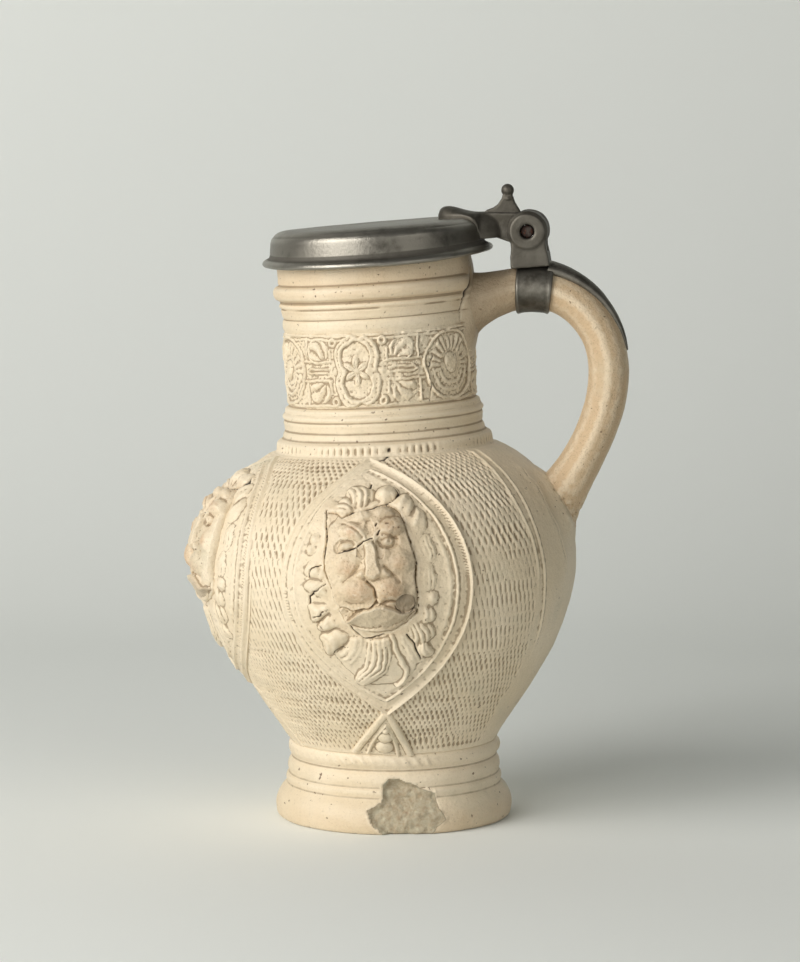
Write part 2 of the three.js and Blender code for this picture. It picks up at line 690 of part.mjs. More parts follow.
jug.add(piece("handle_band", makeBand(), pewter));
jug.add(piece("handle_tail", makeTail(), pewter));

// The hinge's frame: origin on the pin's axis, tipped like the rim.
const hinge = new THREE.Group();
hinge.position.copy(pinCentre);
hinge.rotation.y = -mouthTip;
hinge.add(piece("hinge_block", makeBlock(), pewter));
hinge.add(piece("hinge_pin", makePin(), rustyIron));
hinge.add(piece("lid_tang", makeTang(), pewter));
hinge.add(piece("thumbpiece", makeThumbpiece(), pewter));
const lid = piece("lid", makeLid(), pewter);
lid.position.set(lidCentreX, 0, pinDrop);
hinge.add(lid);
jug.add(hinge);

export default jug;
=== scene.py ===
# A salt-glazed stoneware jug with three lion masks and a hinged pewter lid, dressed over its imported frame.
# Lengths are millimetres until makePiece writes them as metres.
import functools
import json
import math
import bmesh
import bpy
import numpy as np
from mathutils import Matrix, Vector


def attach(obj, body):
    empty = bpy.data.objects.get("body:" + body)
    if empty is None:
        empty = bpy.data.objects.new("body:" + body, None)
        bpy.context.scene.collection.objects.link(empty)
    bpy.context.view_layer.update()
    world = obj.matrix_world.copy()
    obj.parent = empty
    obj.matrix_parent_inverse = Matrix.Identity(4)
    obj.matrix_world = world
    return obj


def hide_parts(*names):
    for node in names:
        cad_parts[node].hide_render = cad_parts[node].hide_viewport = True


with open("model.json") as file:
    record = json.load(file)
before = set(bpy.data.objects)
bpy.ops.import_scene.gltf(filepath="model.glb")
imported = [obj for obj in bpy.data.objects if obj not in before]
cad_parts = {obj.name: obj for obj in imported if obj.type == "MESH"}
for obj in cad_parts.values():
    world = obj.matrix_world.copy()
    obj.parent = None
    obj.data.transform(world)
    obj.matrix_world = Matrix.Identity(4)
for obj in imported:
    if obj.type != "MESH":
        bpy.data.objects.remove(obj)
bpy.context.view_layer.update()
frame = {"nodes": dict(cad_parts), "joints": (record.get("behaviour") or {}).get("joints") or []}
print("frame loaded, nodes:", len(frame["nodes"]))

mm = 0.001

# The turned pot. Everything stuck to it is placed from these sizes.
pot = {
    "waistRadius": 39.2, "waistZ": 29.6,
    "bellyRadius": 70.5, "bellyZ": 98,
    "shoulderRadius": 41.5, "shoulderZ": 141,
    "neckRadius": 35.1, "rimZ": 222.5,
    "friezeBottomZ": 158.5, "friezeHeight": 28,
    "wall": 4.4, "floorThickness": 8,
    "sagBend": 0.000176,  # the centre line leaves the vertical by this times z squared
}


# Numbers over a surface
def smooth(x, low, high):
    t = np.clip((x - low) / (high - low), 0, 1)
    return t * t * (3 - 2 * t)


def bell(distance, width):
    return np.exp(-(distance / width) ** 2)


def over(a, b, soft=0.3):
    # the higher of two surfaces, rounded where they meet
    return 0.5 * (a + b + np.sqrt((a - b) ** 2 + soft * soft))


def toLine(x, y, line):
    # distance to a line of points, and the way along it
    nearest = np.full(np.shape(x), 1e9)
    along = np.zeros(np.shape(x))
    start = 0.0
    for (ax, ay), (bx, by) in zip(line[:-1], line[1:]):
        length = math.hypot(bx - ax, by - ay)
        t = np.clip(((x - ax) * (bx - ax) + (y - ay) * (by - ay)) / length ** 2, 0, 1)
        distance = np.hypot(x - ax - t * (bx - ax), y - ay - t * (by - ay))
        closer = distance < nearest
        along = np.where(closer, start + t * length, along)
        nearest = np.where(closer, distance, nearest)
        start += length
    return nearest, along


def inside(x, y, outline):
    # whether points lie in a closed outline
    odd = np.zeros(np.shape(x), bool)
    for (ax, ay), (bx, by) in zip(outline, outline[1:] + outline[:1]):
        if ay != by:
            odd ^= ((ay > y) != (by > y)) & (x < (bx - ax) * (y - ay) / (by - ay) + ax)
    return odd


def dome(x, y, centre, radii, turn=0.0, bend=0.0, taper=0.0):
    # a round swelling from 1 in its middle to 0 at its edge, below 0 outside, with its own two axes
    c, s = math.cos(turn), math.sin(turn)
    u = ((x - centre[0]) * c + (y - centre[1]) * s) / radii[0]
    v = ((y - centre[1]) * c - (x - centre[0]) * s) / radii[1]
    u = (u + bend * v * v) * (1 + taper * v)
    q = u * u + v * v
    return np.where(q < 1, np.sqrt(np.clip(1 - q, 0, 1)), 1 - q), u, v


def grain(x, y, z, size, seed=0):
    # smooth random values from -1 to 1, one swell per size
    def corner(i, j, k):
        n = i * 73856093 ^ j * 19349663 ^ k * 83492791 ^ seed * 2654435
        n = (n ^ (n >> 13)) * 1274126177 & 0xFFFFFFFF
        n = (n ^ (n >> 16)) * 668265263 & 0xFFFFFFFF
        return (n >> 8 & 0xFFFF) / 32767.5 - 1

    cells, parts = [], []
    for value in (x, y, z):
        cell = np.floor(value / size)
        part = value / size - cell
        cells.append(cell.astype(np.int64))
        parts.append(part * part * (3 - 2 * part))
    total = 0
    for i in (0, 1):
        for j in (0, 1):
            for k in (0, 1):
                share = (parts[0] if i else 1 - parts[0]) * (parts[1] if j else 1 - parts[1])
                share = share * (parts[2] if k else 1 - parts[2])
                total = total + share * corner(cells[0] + i, cells[1] + j, cells[2] + k)
    return total


def rough(x, y, z, size, seed=0, layers=3):
    return sum(0.5 ** n * grain(x, y, z, size * 0.5 ** n, seed + n) for n in range(layers))


def roughFlat(x, y, size, seed=0, layers=3):
    return rough(x, y, 0 * x, size, seed, layers)


def waves(x, y, z, *parts):
    # several uneven surfaces in one; each has its height, then its swells' size, a seed and its layers
    return sum(tall * rough(x, y, z, *part) for tall, *part in parts)


def highest(*surfaces):
    return functools.reduce(np.maximum, surfaces)


def bezier(a, b, c, d, steps):
    t = np.linspace(0, 1, steps)[:, None]
    a, b, c, d = (np.array(p, float) for p in (a, b, c, d))
    return a * (1 - t) ** 3 + 3 * b * t * (1 - t) ** 2 + 3 * c * t * t * (1 - t) + d * t ** 3


def wayAlong(line):
    return np.concatenate([[0], np.cumsum(np.linalg.norm(np.diff(line, axis=0), axis=1))])


# The pot's own shape
def bellyOutline():
    low, wide, top = ((pot[part + "Radius"], pot[part + "Z"]) for part in ("waist", "belly", "shoulder"))
    out, up = wide[0] - low[0], wide[1] - low[1]
    back, rise = wide[0] - top[0], top[1] - wide[1]
    lower = bezier(low, (low[0] + 0.2 * out, low[1] + 0.18 * up), (wide[0], wide[1] - 0.42 * up), wide, 300)
    inward = (wide[0] - 0.5 * back, top[1] - 0.16 * rise)
    upper = bezier(wide, (wide[0], wide[1] + 0.51 * rise), inward, top, 300)
    return np.vstack([lower, upper[1:]])


bellyLine = bellyOutline()
bellyWay = wayAlong(bellyLine)
bellySlope = np.gradient(bellyLine, bellyWay, axis=0)
bellySlope /= np.linalg.norm(bellySlope, axis=1)[:, None]
bellyLength = bellyWay[-1]


def bellyRadiusAt(along):
    return np.interp(along, bellyWay, bellyLine[:, 0])


def bellyHeightAt(along):
    return np.interp(along, bellyWay, bellyLine[:, 1])


def sag(x, y, z):
    # the kiln's sag: each level circle moves and tips with the bent centre line
    turn = np.arctan(2 * pot["sagBend"] * z)
    return np.stack([x * np.cos(turn) - pot["sagBend"] * z * z, y, z + x * np.sin(turn)], 1)


def overBelly(azimuth, along, height):
    radius = bellyRadiusAt(along) + height * np.interp(along, bellyWay, bellySlope[:, 1])
    z = bellyHeightAt(along) - height * np.interp(along, bellyWay, bellySlope[:, 0])
    return sag(radius * np.cos(azimuth), radius * np.sin(azimuth), z)


# Forms, made with bmesh operators
def spun(outline, steps, angle=360, start=0, closed=False):
    # an outline of (radius, height) turned about +Z; a part turn gets a face at each end
    line = np.array(list(outline) + ([outline[0]] if closed else []), float)
    form = bmesh.new()
    bmesh.ops.create_grid(form, x_segments=steps, y_segments=len(line) - 1, size=1)
    mesh = bpy.data.meshes.new("sheet")
    form.to_mesh(mesh)
    x, y, _ = readPlaces(mesh).T
    turn = np.radians(start + angle * (0.5 + 0.5 * x))
    radius, height = line[np.rint((0.5 + 0.5 * y) * (len(line) - 1)).astype(int)].T
    turned = np.stack([radius * np.cos(turn), radius * np.sin(turn), height], 1)
    mesh.vertices.foreach_set("co", turned.astype(np.float32).ravel())
    form.clear()
    form.from_mesh(mesh)
    bpy.data.meshes.remove(mesh)
    bmesh.ops.remove_doubles(form, verts=form.verts[:], dist=1e-4)
    bmesh.ops.holes_fill(form, edges=[edge for edge in form.edges if edge.is_boundary])
    return form


def plaque(columns, rows):
    # a square sheet from -1 to 1 with z = 1, a skirt down to z = 0, and a coarser back with z = -1
    form = bmesh.new()
    bmesh.ops.create_grid(form, x_segments=columns, y_segments=rows, size=1)
    bmesh.ops.translate(form, verts=form.verts[:], vec=(0, 0, 1))
    rim = [edge for edge in form.edges if edge.is_boundary]
    for shrink, level in ((1, 0.5), (1, 0), (0.8, -1), (0.55, -1), (0.3, -1), (0.06, -1)):
        grown = bmesh.ops.extrude_edge_only(form, edges=rim)["geom"]
        rim = [part for part in grown if isinstance(part, bmesh.types.BMEdge)]
        for corner in {corner for edge in rim for corner in edge.verts}:
            reach = max(abs(corner.co.x), abs(corner.co.y))
            corner.co = (corner.co.x * shrink / reach, corner.co.y * shrink / reach, level)
    bmesh.ops.contextual_create(form, geom=rim)
    return form


def fine(outline, step):
    # the outline with points at even small steps
    line = np.array(outline, float)
    way = wayAlong(line)
    count = int(way[-1] / step) + 1
    at = np.linspace(0, way[-1], count)
    return list(zip(np.interp(at, way, line[:, 0]), np.interp(at, way, line[:, 1])))


def rounded(outline, rounds=2):
    # corners cut again and again, so that a moulding's edges are soft as thrown clay
    line = [np.array(p, float) for p in outline]
    for _ in range(rounds):
        cut = [line[0]]
        for a, b in zip(line[:-1], line[1:]):
            cut += [0.75 * a + 0.25 * b, 0.25 * a + 0.75 * b]
        line = cut + [line[-1]]
    return [tuple(p) for p in line]


def plaqueHeight(level, top, edge, back):
    # a plaque's heights: its face, the middle of its skirt, and the skirt's foot with the back
    return np.where(level > 0.9, top, np.where(level > 0.4, edge, back))


def acrossHinge(form):
    # what stands along Z lies along Y
    turn = Matrix.Rotation(math.radians(-90), 3, "X")
    bmesh.ops.rotate(form, verts=form.verts[:], cent=(0, 0, 0), matrix=turn)


# Pieces
def readPlaces(mesh):
    flat = np.empty(len(mesh.vertices) * 3, np.float32)
    mesh.vertices.foreach_get("co", flat)
    return flat.reshape(-1, 3).astype(float)


def toScene(name, data):
    made = bpy.data.objects.new(name, data)
    bpy.context.scene.collection.objects.link(made)
    return made


def writeMark(mesh, mark, values):
    layer = mesh.attributes.get(mark) or mesh.attributes.new(mark, "FLOAT", "POINT")
    layer.data.foreach_set("value", np.asarray(values, np.float32))


def markHollows(mesh, rounds, depth):
    # how far each point lies below its smoothed surroundings: the clay finishes put dirt with painted shade
    # there and a painted highlight where it stands high, the pewter finishes put patina there and rubbed wear
    # where it stands high
    places = readPlaces(mesh)
    pairs = np.empty(len(mesh.edges) * 2, np.int32)
    mesh.edges.foreach_get("vertices", pairs)
    a, b = pairs[0::2], pairs[1::2]
    count = np.bincount(a, minlength=len(places)) + np.bincount(b, minlength=len(places))
    count = np.maximum(count, 1)[:, None]
    calm = places.copy()
    for _ in range(rounds):
        sums = []
        for k in range(3):
            sums.append(np.bincount(a, calm[b, k], len(places)) + np.bincount(b, calm[a, k], len(places)))
        calm = 0.5 * calm + 0.5 * np.stack(sums, 1) / count
    ways = np.empty(len(mesh.vertices) * 3, np.float32)
    mesh.vertex_normals.foreach_get("vector", ways)
    below = np.sum((calm - places) * ways.reshape(-1, 3), 1)
    writeMark(mesh, "hollow", np.clip(below / (depth * mm), -1, 1))


def makePiece(
    name, form, material, body="jug", stands=(),
    shape=None, rounds=10, depth=0.12, sharp=75,
):
    # rounds and depth say how wide and how deep a hollow is marked; sharp is the angle of a hard edge
    mesh = bpy.data.meshes.new(name)
    form.to_mesh(mesh)
    form.free()
    places, marks = shape(readPlaces(mesh)) if shape else (readPlaces(mesh), {})
    mesh.vertices.foreach_set("co", (places * mm).astype(np.float32).ravel())
    for mark, values in marks.items():
        writeMark(mesh, mark, np.broadcast_to(values, len(places)))
    form = bmesh.new()
    form.from_mesh(mesh)
    bmesh.ops.recalc_face_normals(form, faces=form.faces[:])
    form.to_mesh(mesh)
    form.free()
    mesh.shade_smooth()
    mesh.set_sharp_from_angle(angle=math.radians(sharp))
    markHollows(mesh, rounds, depth)
    mesh.materials.append(material)
    piece = toScene(name, mesh)
    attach(piece, body)
    if stands:
        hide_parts(*stands)
    print(name, len(mesh.polygons), "faces")
    return piece


# Materials: sums of shader values are written as sums
class Value:
    def __init__(self, finish, socket):
        self.finish = finish
        self.socket = socket

    def sum(self, operation, first, second):
        return self.finish.node("ShaderNodeMath", {"operation": operation}, {0: first, 1: second})

    def __add__(self, other):
        return self.sum("ADD", self, other)

    def __radd__(self, other):
        return self.sum("ADD", other, self)

    def __sub__(self, other):
        return self.sum("SUBTRACT", self, other)

    def __rsub__(self, other):
        return self.sum("SUBTRACT", other, self)

    def __mul__(self, other):
        return self.sum("MULTIPLY", self, other)

    def __rmul__(self, other):
        return self.sum("MULTIPLY", other, self)


class Finish:
    def __init__(self, name):
        self.material = bpy.data.materials.new(name)
        self.material.use_nodes = True
        self.tree = self.material.node_tree
        self.tree.nodes.clear()
        self.place = self.node("ShaderNodeTexCoord", output="Object")

    def node(self, kind, settings=None, sockets=None, output=0):
        made = self.tree.nodes.new(kind)
        for key, value in (settings or {}).items():
            if key == "stops":
                self.fillRamp(made.color_ramp, value)
            else:
                setattr(made, key, value)
        for key, value in (sockets or {}).items():
            if isinstance(value, Value):
                self.tree.links.new(value.socket, made.inputs[key])
            else:
                made.inputs[key].default_value = value
        return Value(self, made.outputs[output])

    def fillRamp(self, ramp, stops):
        first, last = ramp.elements[0], ramp.elements[-1]
        first.position, first.color = stops[0][0], (*stops[0][1], 1)
        last.position, last.color = stops[-1][0], (*stops[-1][1], 1)
        for position, colour in stops[1:-1]:
            ramp.elements.new(position).color = (*colour, 1)

    def mark(self, name):
        return self.node("ShaderNodeAttribute", {"attribute_name": name}, output="Fac")

    def noise(self, size, detail=2.0, roughness=0.5, place=None):
        # size in millimetres; object places are metres
        sockets = {0: place or self.place, "Scale": 1 / (size * mm), "Detail": detail, "Roughness": roughness}
        return self.node("ShaderNodeTexNoise", sockets=sockets)

    def step(self, value, low, high):
        limits = {"Value": value, "From Min": low, "From Max": high}
        return self.node("ShaderNodeMapRange", {"interpolation_type": "SMOOTHSTEP"}, limits)

    def stretched(self, scale, turn=(0, 0, 0), move=(0, 0, 0)):
        sockets = {"Vector": self.place, "Location": move, "Rotation": turn, "Scale": scale}
        return self.node("ShaderNodeMapping", {"vector_type": "TEXTURE"}, sockets)

    def mix(self, share, first, second, blend="MIX"):
        sockets = {0: share, 6: first, 7: second}
        return self.node("ShaderNodeMix", {"data_type": "RGBA", "blend_type": blend}, sockets, output=2)

    def close(self, colour, roughness, height, metallic=0.0, **constants):
        # height in millimetres
        normal = self.node("ShaderNodeBump", sockets={"Height": height, "Distance": mm, "Strength": 1.0})
        sockets = {"Base Color": colour, "Roughness": roughness, "Metallic": metallic, "Normal": normal}
        sockets.update({key.replace("_", " "): value for key, value in constants.items()})
        shader = self.node("ShaderNodeBsdfPrincipled", sockets=sockets)
        out = self.tree.nodes.new("ShaderNodeOutputMaterial")
        self.tree.links.new(shader.socket, out.inputs["Surface"])
        return self.material


def rgb(red, green, blue):
    # a colour read off as 0 to 255, made linear for a shader
    def linear(c):
        c /= 255
        return c / 12.92 if c <= 0.04045 else ((c + 0.055) / 1.055) ** 2.4

    return (linear(red), linear(green), linear(blue), 1.0)


# dirtAndShade colours real dirt and also painted shade; edge colours a painted highlight
clay = {
    "cream": rgb(220, 203, 173), "pale": rgb(228, 213, 187), "tan": rgb(202, 176, 141),
    "flush": rgb(196, 160, 124), "cool": rgb(196, 188, 163), "dirtAndShade": rgb(132, 111, 83),
    "edge": rgb(232, 218, 192), "speck": rgb(98, 72, 48), "crack": rgb(54, 43, 33),
    "bare": rgb(168, 148, 120), "grey": rgb(144, 133, 112),
}


def stoneware(name, warmth=0.0, wheel=0.0, mottling=0.18, grit=1.3, dulling=0.0, specks=0.0, glaze=1.0):
    # salt-glazed clay: warmth shifts it to tan, wheel adds the turning's level lines, mottling its dark
    # grain, grit its small bumps, dulling an even darkening, specks more iron spots, glaze its shine
    f = Finish(name)
    hollow = f.mark("hollow")
    low = f.step(hollow, 0.08, 0.9)
    high = f.step(hollow * -1, 0.1, 0.9)
    broad = f.noise(38, 2)
    patch = f.noise(14, 3, 0.6)
    small = f.noise(3.2, 3, 0.6)
    body = f.mix(f.step(broad, 0.35, 0.7), clay["cream"], clay["pale"])
    warm = f.step(f.mark("warm") + warmth + (patch - 0.5) * 0.5, 0.15, 1.0)
    body = f.mix(warm, body, clay["tan"])
    flush = f.mark("flush")
    blush = f.step(flush + (small - 0.5) * 1.2 * flush + (patch - 0.5) * 0.5 * flush, 0.25, 1.1)
    body = f.mix(blush, body, clay["flush"])
    body = f.mix(f.step(f.noise(0.8, 2, 0.6), 0.6, 0.7) * f.step(flush, 0.2, 0.8) * 0.5, body, clay["dirtAndShade"])
    body = f.mix(f.step(f.noise(24, 3, 0.6), 0.52, 0.78) * 0.55, body, clay["cool"])
    # painted highlight: what stands above its surroundings is lightened towards the edge colour
    body = f.mix(high * 0.5, body, clay["edge"])
    # dirt with painted shade in the hollows
    body = f.mix(f.step(low * (0.65 + small * 0.7), 0.1, 1.0) * 0.72, body, clay["dirtAndShade"])
    pits = f.step(f.noise(1.5, 1, 0.4), 0.735 - specks, 0.79 - specks)
    pits = pits * f.step(f.noise(9, 1), 0.42 - specks, 0.6)
    body = f.mix(pits * 0.85, body, clay["speck"])
    mottle = f.step(f.noise(0.8, 3, 0.7), 0.5, 0.75) * mottling
    body = f.mix(mottle, body, clay["dirtAndShade"])
    bare = f.step(f.mark("bare") + (small - 0.5) * 0.25, 0.35, 0.6)
    broken = f.mix(f.step(f.noise(0.9, 3, 0.7) * 0.4 + small * 0.6, 0.3, 0.7), clay["bare"], clay["cool"])
    body = f.mix(bare, body, broken)
    # painted shade: darker towards the dirtAndShade colour where the stain mark is set, plus the even dulling
    paintedShadeAndDulling = f.step(f.mark("stain") * (0.75 + small * 0.5) + dulling, 0.0, 1.1) * 0.75
    body = f.mix(paintedShadeAndDulling, body, clay["dirtAndShade"])
    body = f.mix(f.step(f.mark("grey"), 0.3, 0.7), body, f.mix(small, clay["grey"], clay["dirtAndShade"]))
    # the crack mark: real cracks and scars, and painted shade in the slits and the open mouth
    body = f.mix(f.step(f.mark("crack"), 0.25, 0.8), body, clay["crack"])
    height = f.noise(1.4, 3, 0.6) * (0.2 * grit) + f.noise(0.6, 3, 0.65) * (0.08 * grit) - pits * 0.15
    height = height + bare * f.noise(0.8, 4, 0.75) * 0.55
    if wheel:
        lines = f.noise(0.9, 2, 0.6, f.stretched((30, 30, 1)))
        height = height + lines * wheel
    roughness = 0.58 - 0.12 * glaze + patch * 0.14 + low * 0.2 + bare * 0.3
    return f.close(body, roughness, height, Coat_Weight=0.08 * glaze, Coat_Roughness=0.34)


metal = {
    "pewter": rgb(132, 128, 119), "dark": rgb(80, 76, 68), "bright": rgb(172, 168, 158),
    "bloom": rgb(130, 130, 117), "rust": rgb(112, 62, 40), "rustDark": rgb(48, 32, 25),
    "iron": rgb(70, 62, 56),
}


def pewter(name, grip=0.0, gloss=0.0, clean=0.0, turning=None):
    # old cast metal, dark in its hollows and rubbed along its edges: grip darkens it, gloss and clean lighten
    # it, and turning, the lid's middle and tip, adds the lathe's rings
    f = Finish(name)
    hollow = f.mark("hollow")
    low = f.step(hollow, 0.05, 0.8)
    high = f.step(hollow * -1, 0.15, 0.9)
    broad = f.noise(21, 3, 0.6)
    patch = f.noise(5, 4, 0.65)
    scratch = f.noise(0.5, 2, 0.5, f.stretched((14, 1, 14), turn=(0.3, 0.5, 0.8)))
    cross = f.noise(0.4, 2, 0.5, f.stretched((1, 12, 12), turn=(0.9, 0.2, 0.4)))
    body = f.mix(f.step(broad * 0.6 + patch * 0.4 + clean, 0.38, 0.62), metal["dark"], metal["pewter"])
    body = f.mix(f.step(patch, 0.55, 0.75) * 0.5, body, metal["bloom"])
    body = f.mix(f.step(scratch, 0.62, 0.74) * 0.14, body, metal["bright"])
    body = f.mix(high * 0.32, body, metal["bright"])
    body = f.mix(f.step(low + grip, 0.1, 1.0) * 0.8, body, metal["dark"])
    height = patch * 0.18 + f.noise(1.2, 2, 0.5) * 0.06 + scratch * 0.03 + cross * 0.03
    if turning:
        middle, tip = turning
        rings = f.stretched((1, 1, 1), (0, -tip, 0), middle)
        reach = f.node("ShaderNodeVectorMath", {"operation": "MULTIPLY"}, {0: rings, 1: (1, 1, 0)})
        radius = f.node("ShaderNodeVectorMath", {"operation": "LENGTH"}, {0: reach}, output="Value")
        groove = f.node("ShaderNodeCombineXYZ", sockets={"X": radius})
        height = height + f.noise(0.7, 3, 0.6, groove) * 0.1
    roughness = 0.42 - gloss + patch * 0.22 + low * 0.2 - high * 0.06
    return f.close(body, roughness, height, metallic=0.92 - low * 0.35)


def rustyIron(name):
    f = Finish(name)
    crust = f.noise(0.8, 4, 0.7)
    body = f.mix(f.step(crust, 0.5, 0.75), metal["rustDark"], metal["rust"])
    body = f.mix(f.step(f.noise(2.2, 2), 0.55, 0.7), body, metal["iron"])
    return f.close(body, 0.6 + crust * 0.3, crust * 0.3, metallic=0.35)


tip = math.atan(2 * pot["sagBend"] * pot["rimZ"])  # of the mouth
joint = frame["joints"][0]
pin = Vector(joint["pos_m"]) / mm
hingeFrame = Matrix.Translation(pin) @ Matrix.Rotation(-tip, 4, "Y")
hingeTurn = np.array(hingeFrame.to_3x3())
lidPlace = Vector((-57.45, 0, 4.45))  # the rim's middle, from the pin
lidMiddle = hingeFrame @ lidPlace

bodyClay = stoneware("salt glazed stoneware", wheel=0.02)
thrownClay = stoneware("thrown neck and foot", warmth=0.22, wheel=0.09, dulling=0.1, specks=0.035)
handleClay = stoneware(
    "handle stoneware", warmth=0.2, mottling=0.45, grit=2.6, dulling=0.12, specks=0.02, glaze=0.1,
)
maskClay = stoneware("moulded stoneware", warmth=0.05, mottling=0.35, grit=1.7)
lidPewter = pewter("turned pewter", gloss=0.1, clean=0.1, turning=(tuple(lidMiddle * mm), tip))
castPewter = pewter("cast pewter", grip=0.42)
hingePewter = pewter("hinge pewter", grip=0.72, gloss=-0.05)
pinIron = rustyIron("rusty iron")
print("materials made")


# The belly, in four quarters: one seam lies under the right mask and one under the handle's root
belly = {
    "columns": 256, "step": 0.52, "innerStep": 6.0,
    "slitDepth": 1.1, "slitHalfWidth": 1.0, "slant": 0.12, "slitCount": 120,
    "ribHeight": 0.6, "ribWay": ([27.0, 27.3, 29.2, 31.3, 32.0], [60, 71, 86, 106, 115]),  # degrees, z
    "seamRadius": 43,  # of the wall at the shoulder's crack
    "shoulderCrack": [(-5.2, 126.8), (-3.6, 128.6), (-2.2, 127.6), (-0.6, 128.6), (3.6, 129.6), (5.6, 131.6)],
    "scar": [
        (-17, 132), (-19.2, 128.9), (-17.2, 127.2), (-19.6, 122.4), (-20.4, 117), (-18.1, 108.3),
        (-16.2, 94.4),
    ],
    "scarPerDegree": 1.1,  # millimetres
}

# zones of the roulette's slits: lowest z, count round the pot, pitch along the wall, half length, strength
slitZones = [
    (29.6, 118, 2.8, 2.1, 1.0),
    (36.0, 152, 2.2, 1.6, 0.95),
    (52.0, 184, 2.5, 1.9, 0.8),
    (70.0, 196, 4.2, 3.0, 0.4),
    (106.0, 152, 3.2, 2.3, 1.0),
    (132.5, 134, 2.2, 1.4, 1.1),
]


def slits(azimuth, along, z):
    # the roulette's staggered cuts, each running up the wall
    radius = bellyRadiusAt(along)
    wobble = 0.6 * rough(azimuth * 60, along, 0 * along, 8, 3, 2)
    azimuth = azimuth + 0.22 * rough(azimuth * 60, along, 0 * along, 5, 8, 2) / radius
    cut = np.zeros(len(azimuth))
    for index, (lowest, count, pitch, half, strength) in enumerate(slitZones):
        upTo = slitZones[index + 1][0] if index + 1 < len(slitZones) else 200
        zone = (z >= lowest) & (z < upTo)
        deepest = np.zeros(zone.sum())
        for odd in (0, 1):
            rows = (along[zone] + wobble[zone] + odd * pitch) / (2 * pitch)
            turns = azimuth[zone] * count / (2 * np.pi) + 0.5 * odd + 0.03 * np.floor(rows)
            across = (turns - np.round(turns)) * 2 * np.pi * radius[zone] / count
            up = (rows - np.round(rows)) * 2 * pitch
            uneven = 0.5 + 0.5 * np.sin(np.round(turns) * 12.9 + np.round(rows) * 78.2 + 3 * odd)
            lens = np.clip(1 - (up / (half * (0.75 + 0.25 * uneven))) ** 2, 0, 1)
            width = belly["slitHalfWidth"] * (0.7 + 0.5 * uneven) * np.maximum(lens, 0.02)
            width = width * 2 * belly["slitCount"] / (belly["slitCount"] + count)
            shape = np.clip(1 - np.abs(across + belly["slant"] * up) / width, 0, 1) * lens ** 0.4
            deepest = np.maximum(deepest, shape * (0.4 + 0.6 * uneven))
        cut[zone] = deepest * strength
    return cut


def bellySurface(azimuth, along):
    # height over the bare wall, and the marks for the finish
    z = bellyHeightAt(along)
    degrees = np.degrees(azimuth)
    side = np.abs(degrees)
    x, y = bellyRadiusAt(along) * np.cos(azimuth), bellyRadiusAt(along) * np.sin(azimuth)
    rib = np.interp(z, belly["ribWay"][1], belly["ribWay"][0])
    innerRib = rib + 3.0 + 1.5 * smooth(z, 108, 126)
    stray = 2.0 * rough(x, y, z, 7, 14, 2) * (1 - smooth(z, 66, 86))
    carved = smooth(side + stray, innerRib + 0.6, innerRib + 2.2)
    worn = smooth(grain(x, y, z, 17, 5) + 0.35 * grain(x, y, z, 5, 6), -0.75, -0.1)
    cut = slits(azimuth, along, z) * carved * (0.35 + 0.65 * worn)
    height = -belly["slitDepth"] * cut
    perDegree = bellyRadiusAt(along) * np.pi / 180
    height += belly["ribHeight"] * bell((side - rib) * perDegree, 0.65) * smooth(z, 62, 78)
    height += 0.8 * belly["ribHeight"] * bell((side - innerRib) * perDegree, 0.6) * smooth(z, 84, 104)
    height += waves(x, y, z, (0.45, 34, 11, 2), (0.14, 7, 12, 2), (0.07, 1.8, 13, 2))
    height *= smooth(z, 29.6, 32) * smooth(-z, -141, -139.5)
    fromSeam = (azimuth + math.pi / 2) * belly["seamRadius"]
    crack = bell(toLine(fromSeam, along, belly["shoulderCrack"])[0], 0.42)
    root = np.hypot(degrees * perDegree, (z - 112) / 1.1)
    height += 2.2 * (1 - smooth(root, 10, 20)) * (1 + 0.3 * rough(x, y, z, 5, 21)) * smooth(z, 102, 113)
    scarLine = [(a * belly["scarPerDegree"], h) for a, h in rounded(belly["scar"])]
    scarAt = toLine(degrees * belly["scarPerDegree"] + 0.5 * rough(x, y, z, 3, 22), z, scarLine)[0]
    scar = bell(scarAt, 0.3)
    height += 0.4 * bell(scarAt, 2.5)
    # the deeper slits take the crack colour too: painted shade in the cuts
    return height - 0.9 * crack - 0.6 * scar, {
        "crack": highest(crack, scar * 0.7, 0.55 * smooth(cut, 0.45, 1.0)),
        "warm": 0.25 * smooth(z, 128, 141) + 0.3 * (1 - smooth(root, 9, 14)),
    }


def bellyQuarter(start):
    outer = fine(bellyLine, belly["step"])
    inner = [(r - pot["wall"], z) for r, z in fine(bellyLine, belly["innerStep"])]
    return spun(outer + inner[::-1], belly["columns"], 90, start, closed=True)


def shapeBelly(places):
    x, y, z = places.T
    azimuth = np.arctan2(y, x)
    along = np.interp(z, bellyLine[:, 1], bellyWay)
    out = np.hypot(x, y) > bellyRadiusAt(along) - 0.5 * pot["wall"]
    height, marks = bellySurface(azimuth, along)
    placed = overBelly(azimuth, along, np.where(out, height, 0))
    placed[~out] = sag(x, y, z)[~out]
    return placed, {mark: np.where(out, values, 0) for mark, values in marks.items()}


for index, start in enumerate((-90, 0, 90, 180)):
    stands = ("vessel",) if index == 0 else ()
    makePiece(f"belly_quarter_{index + 1}", bellyQuarter(start), bodyClay, stands=stands, shape=shapeBelly)
print("belly done")


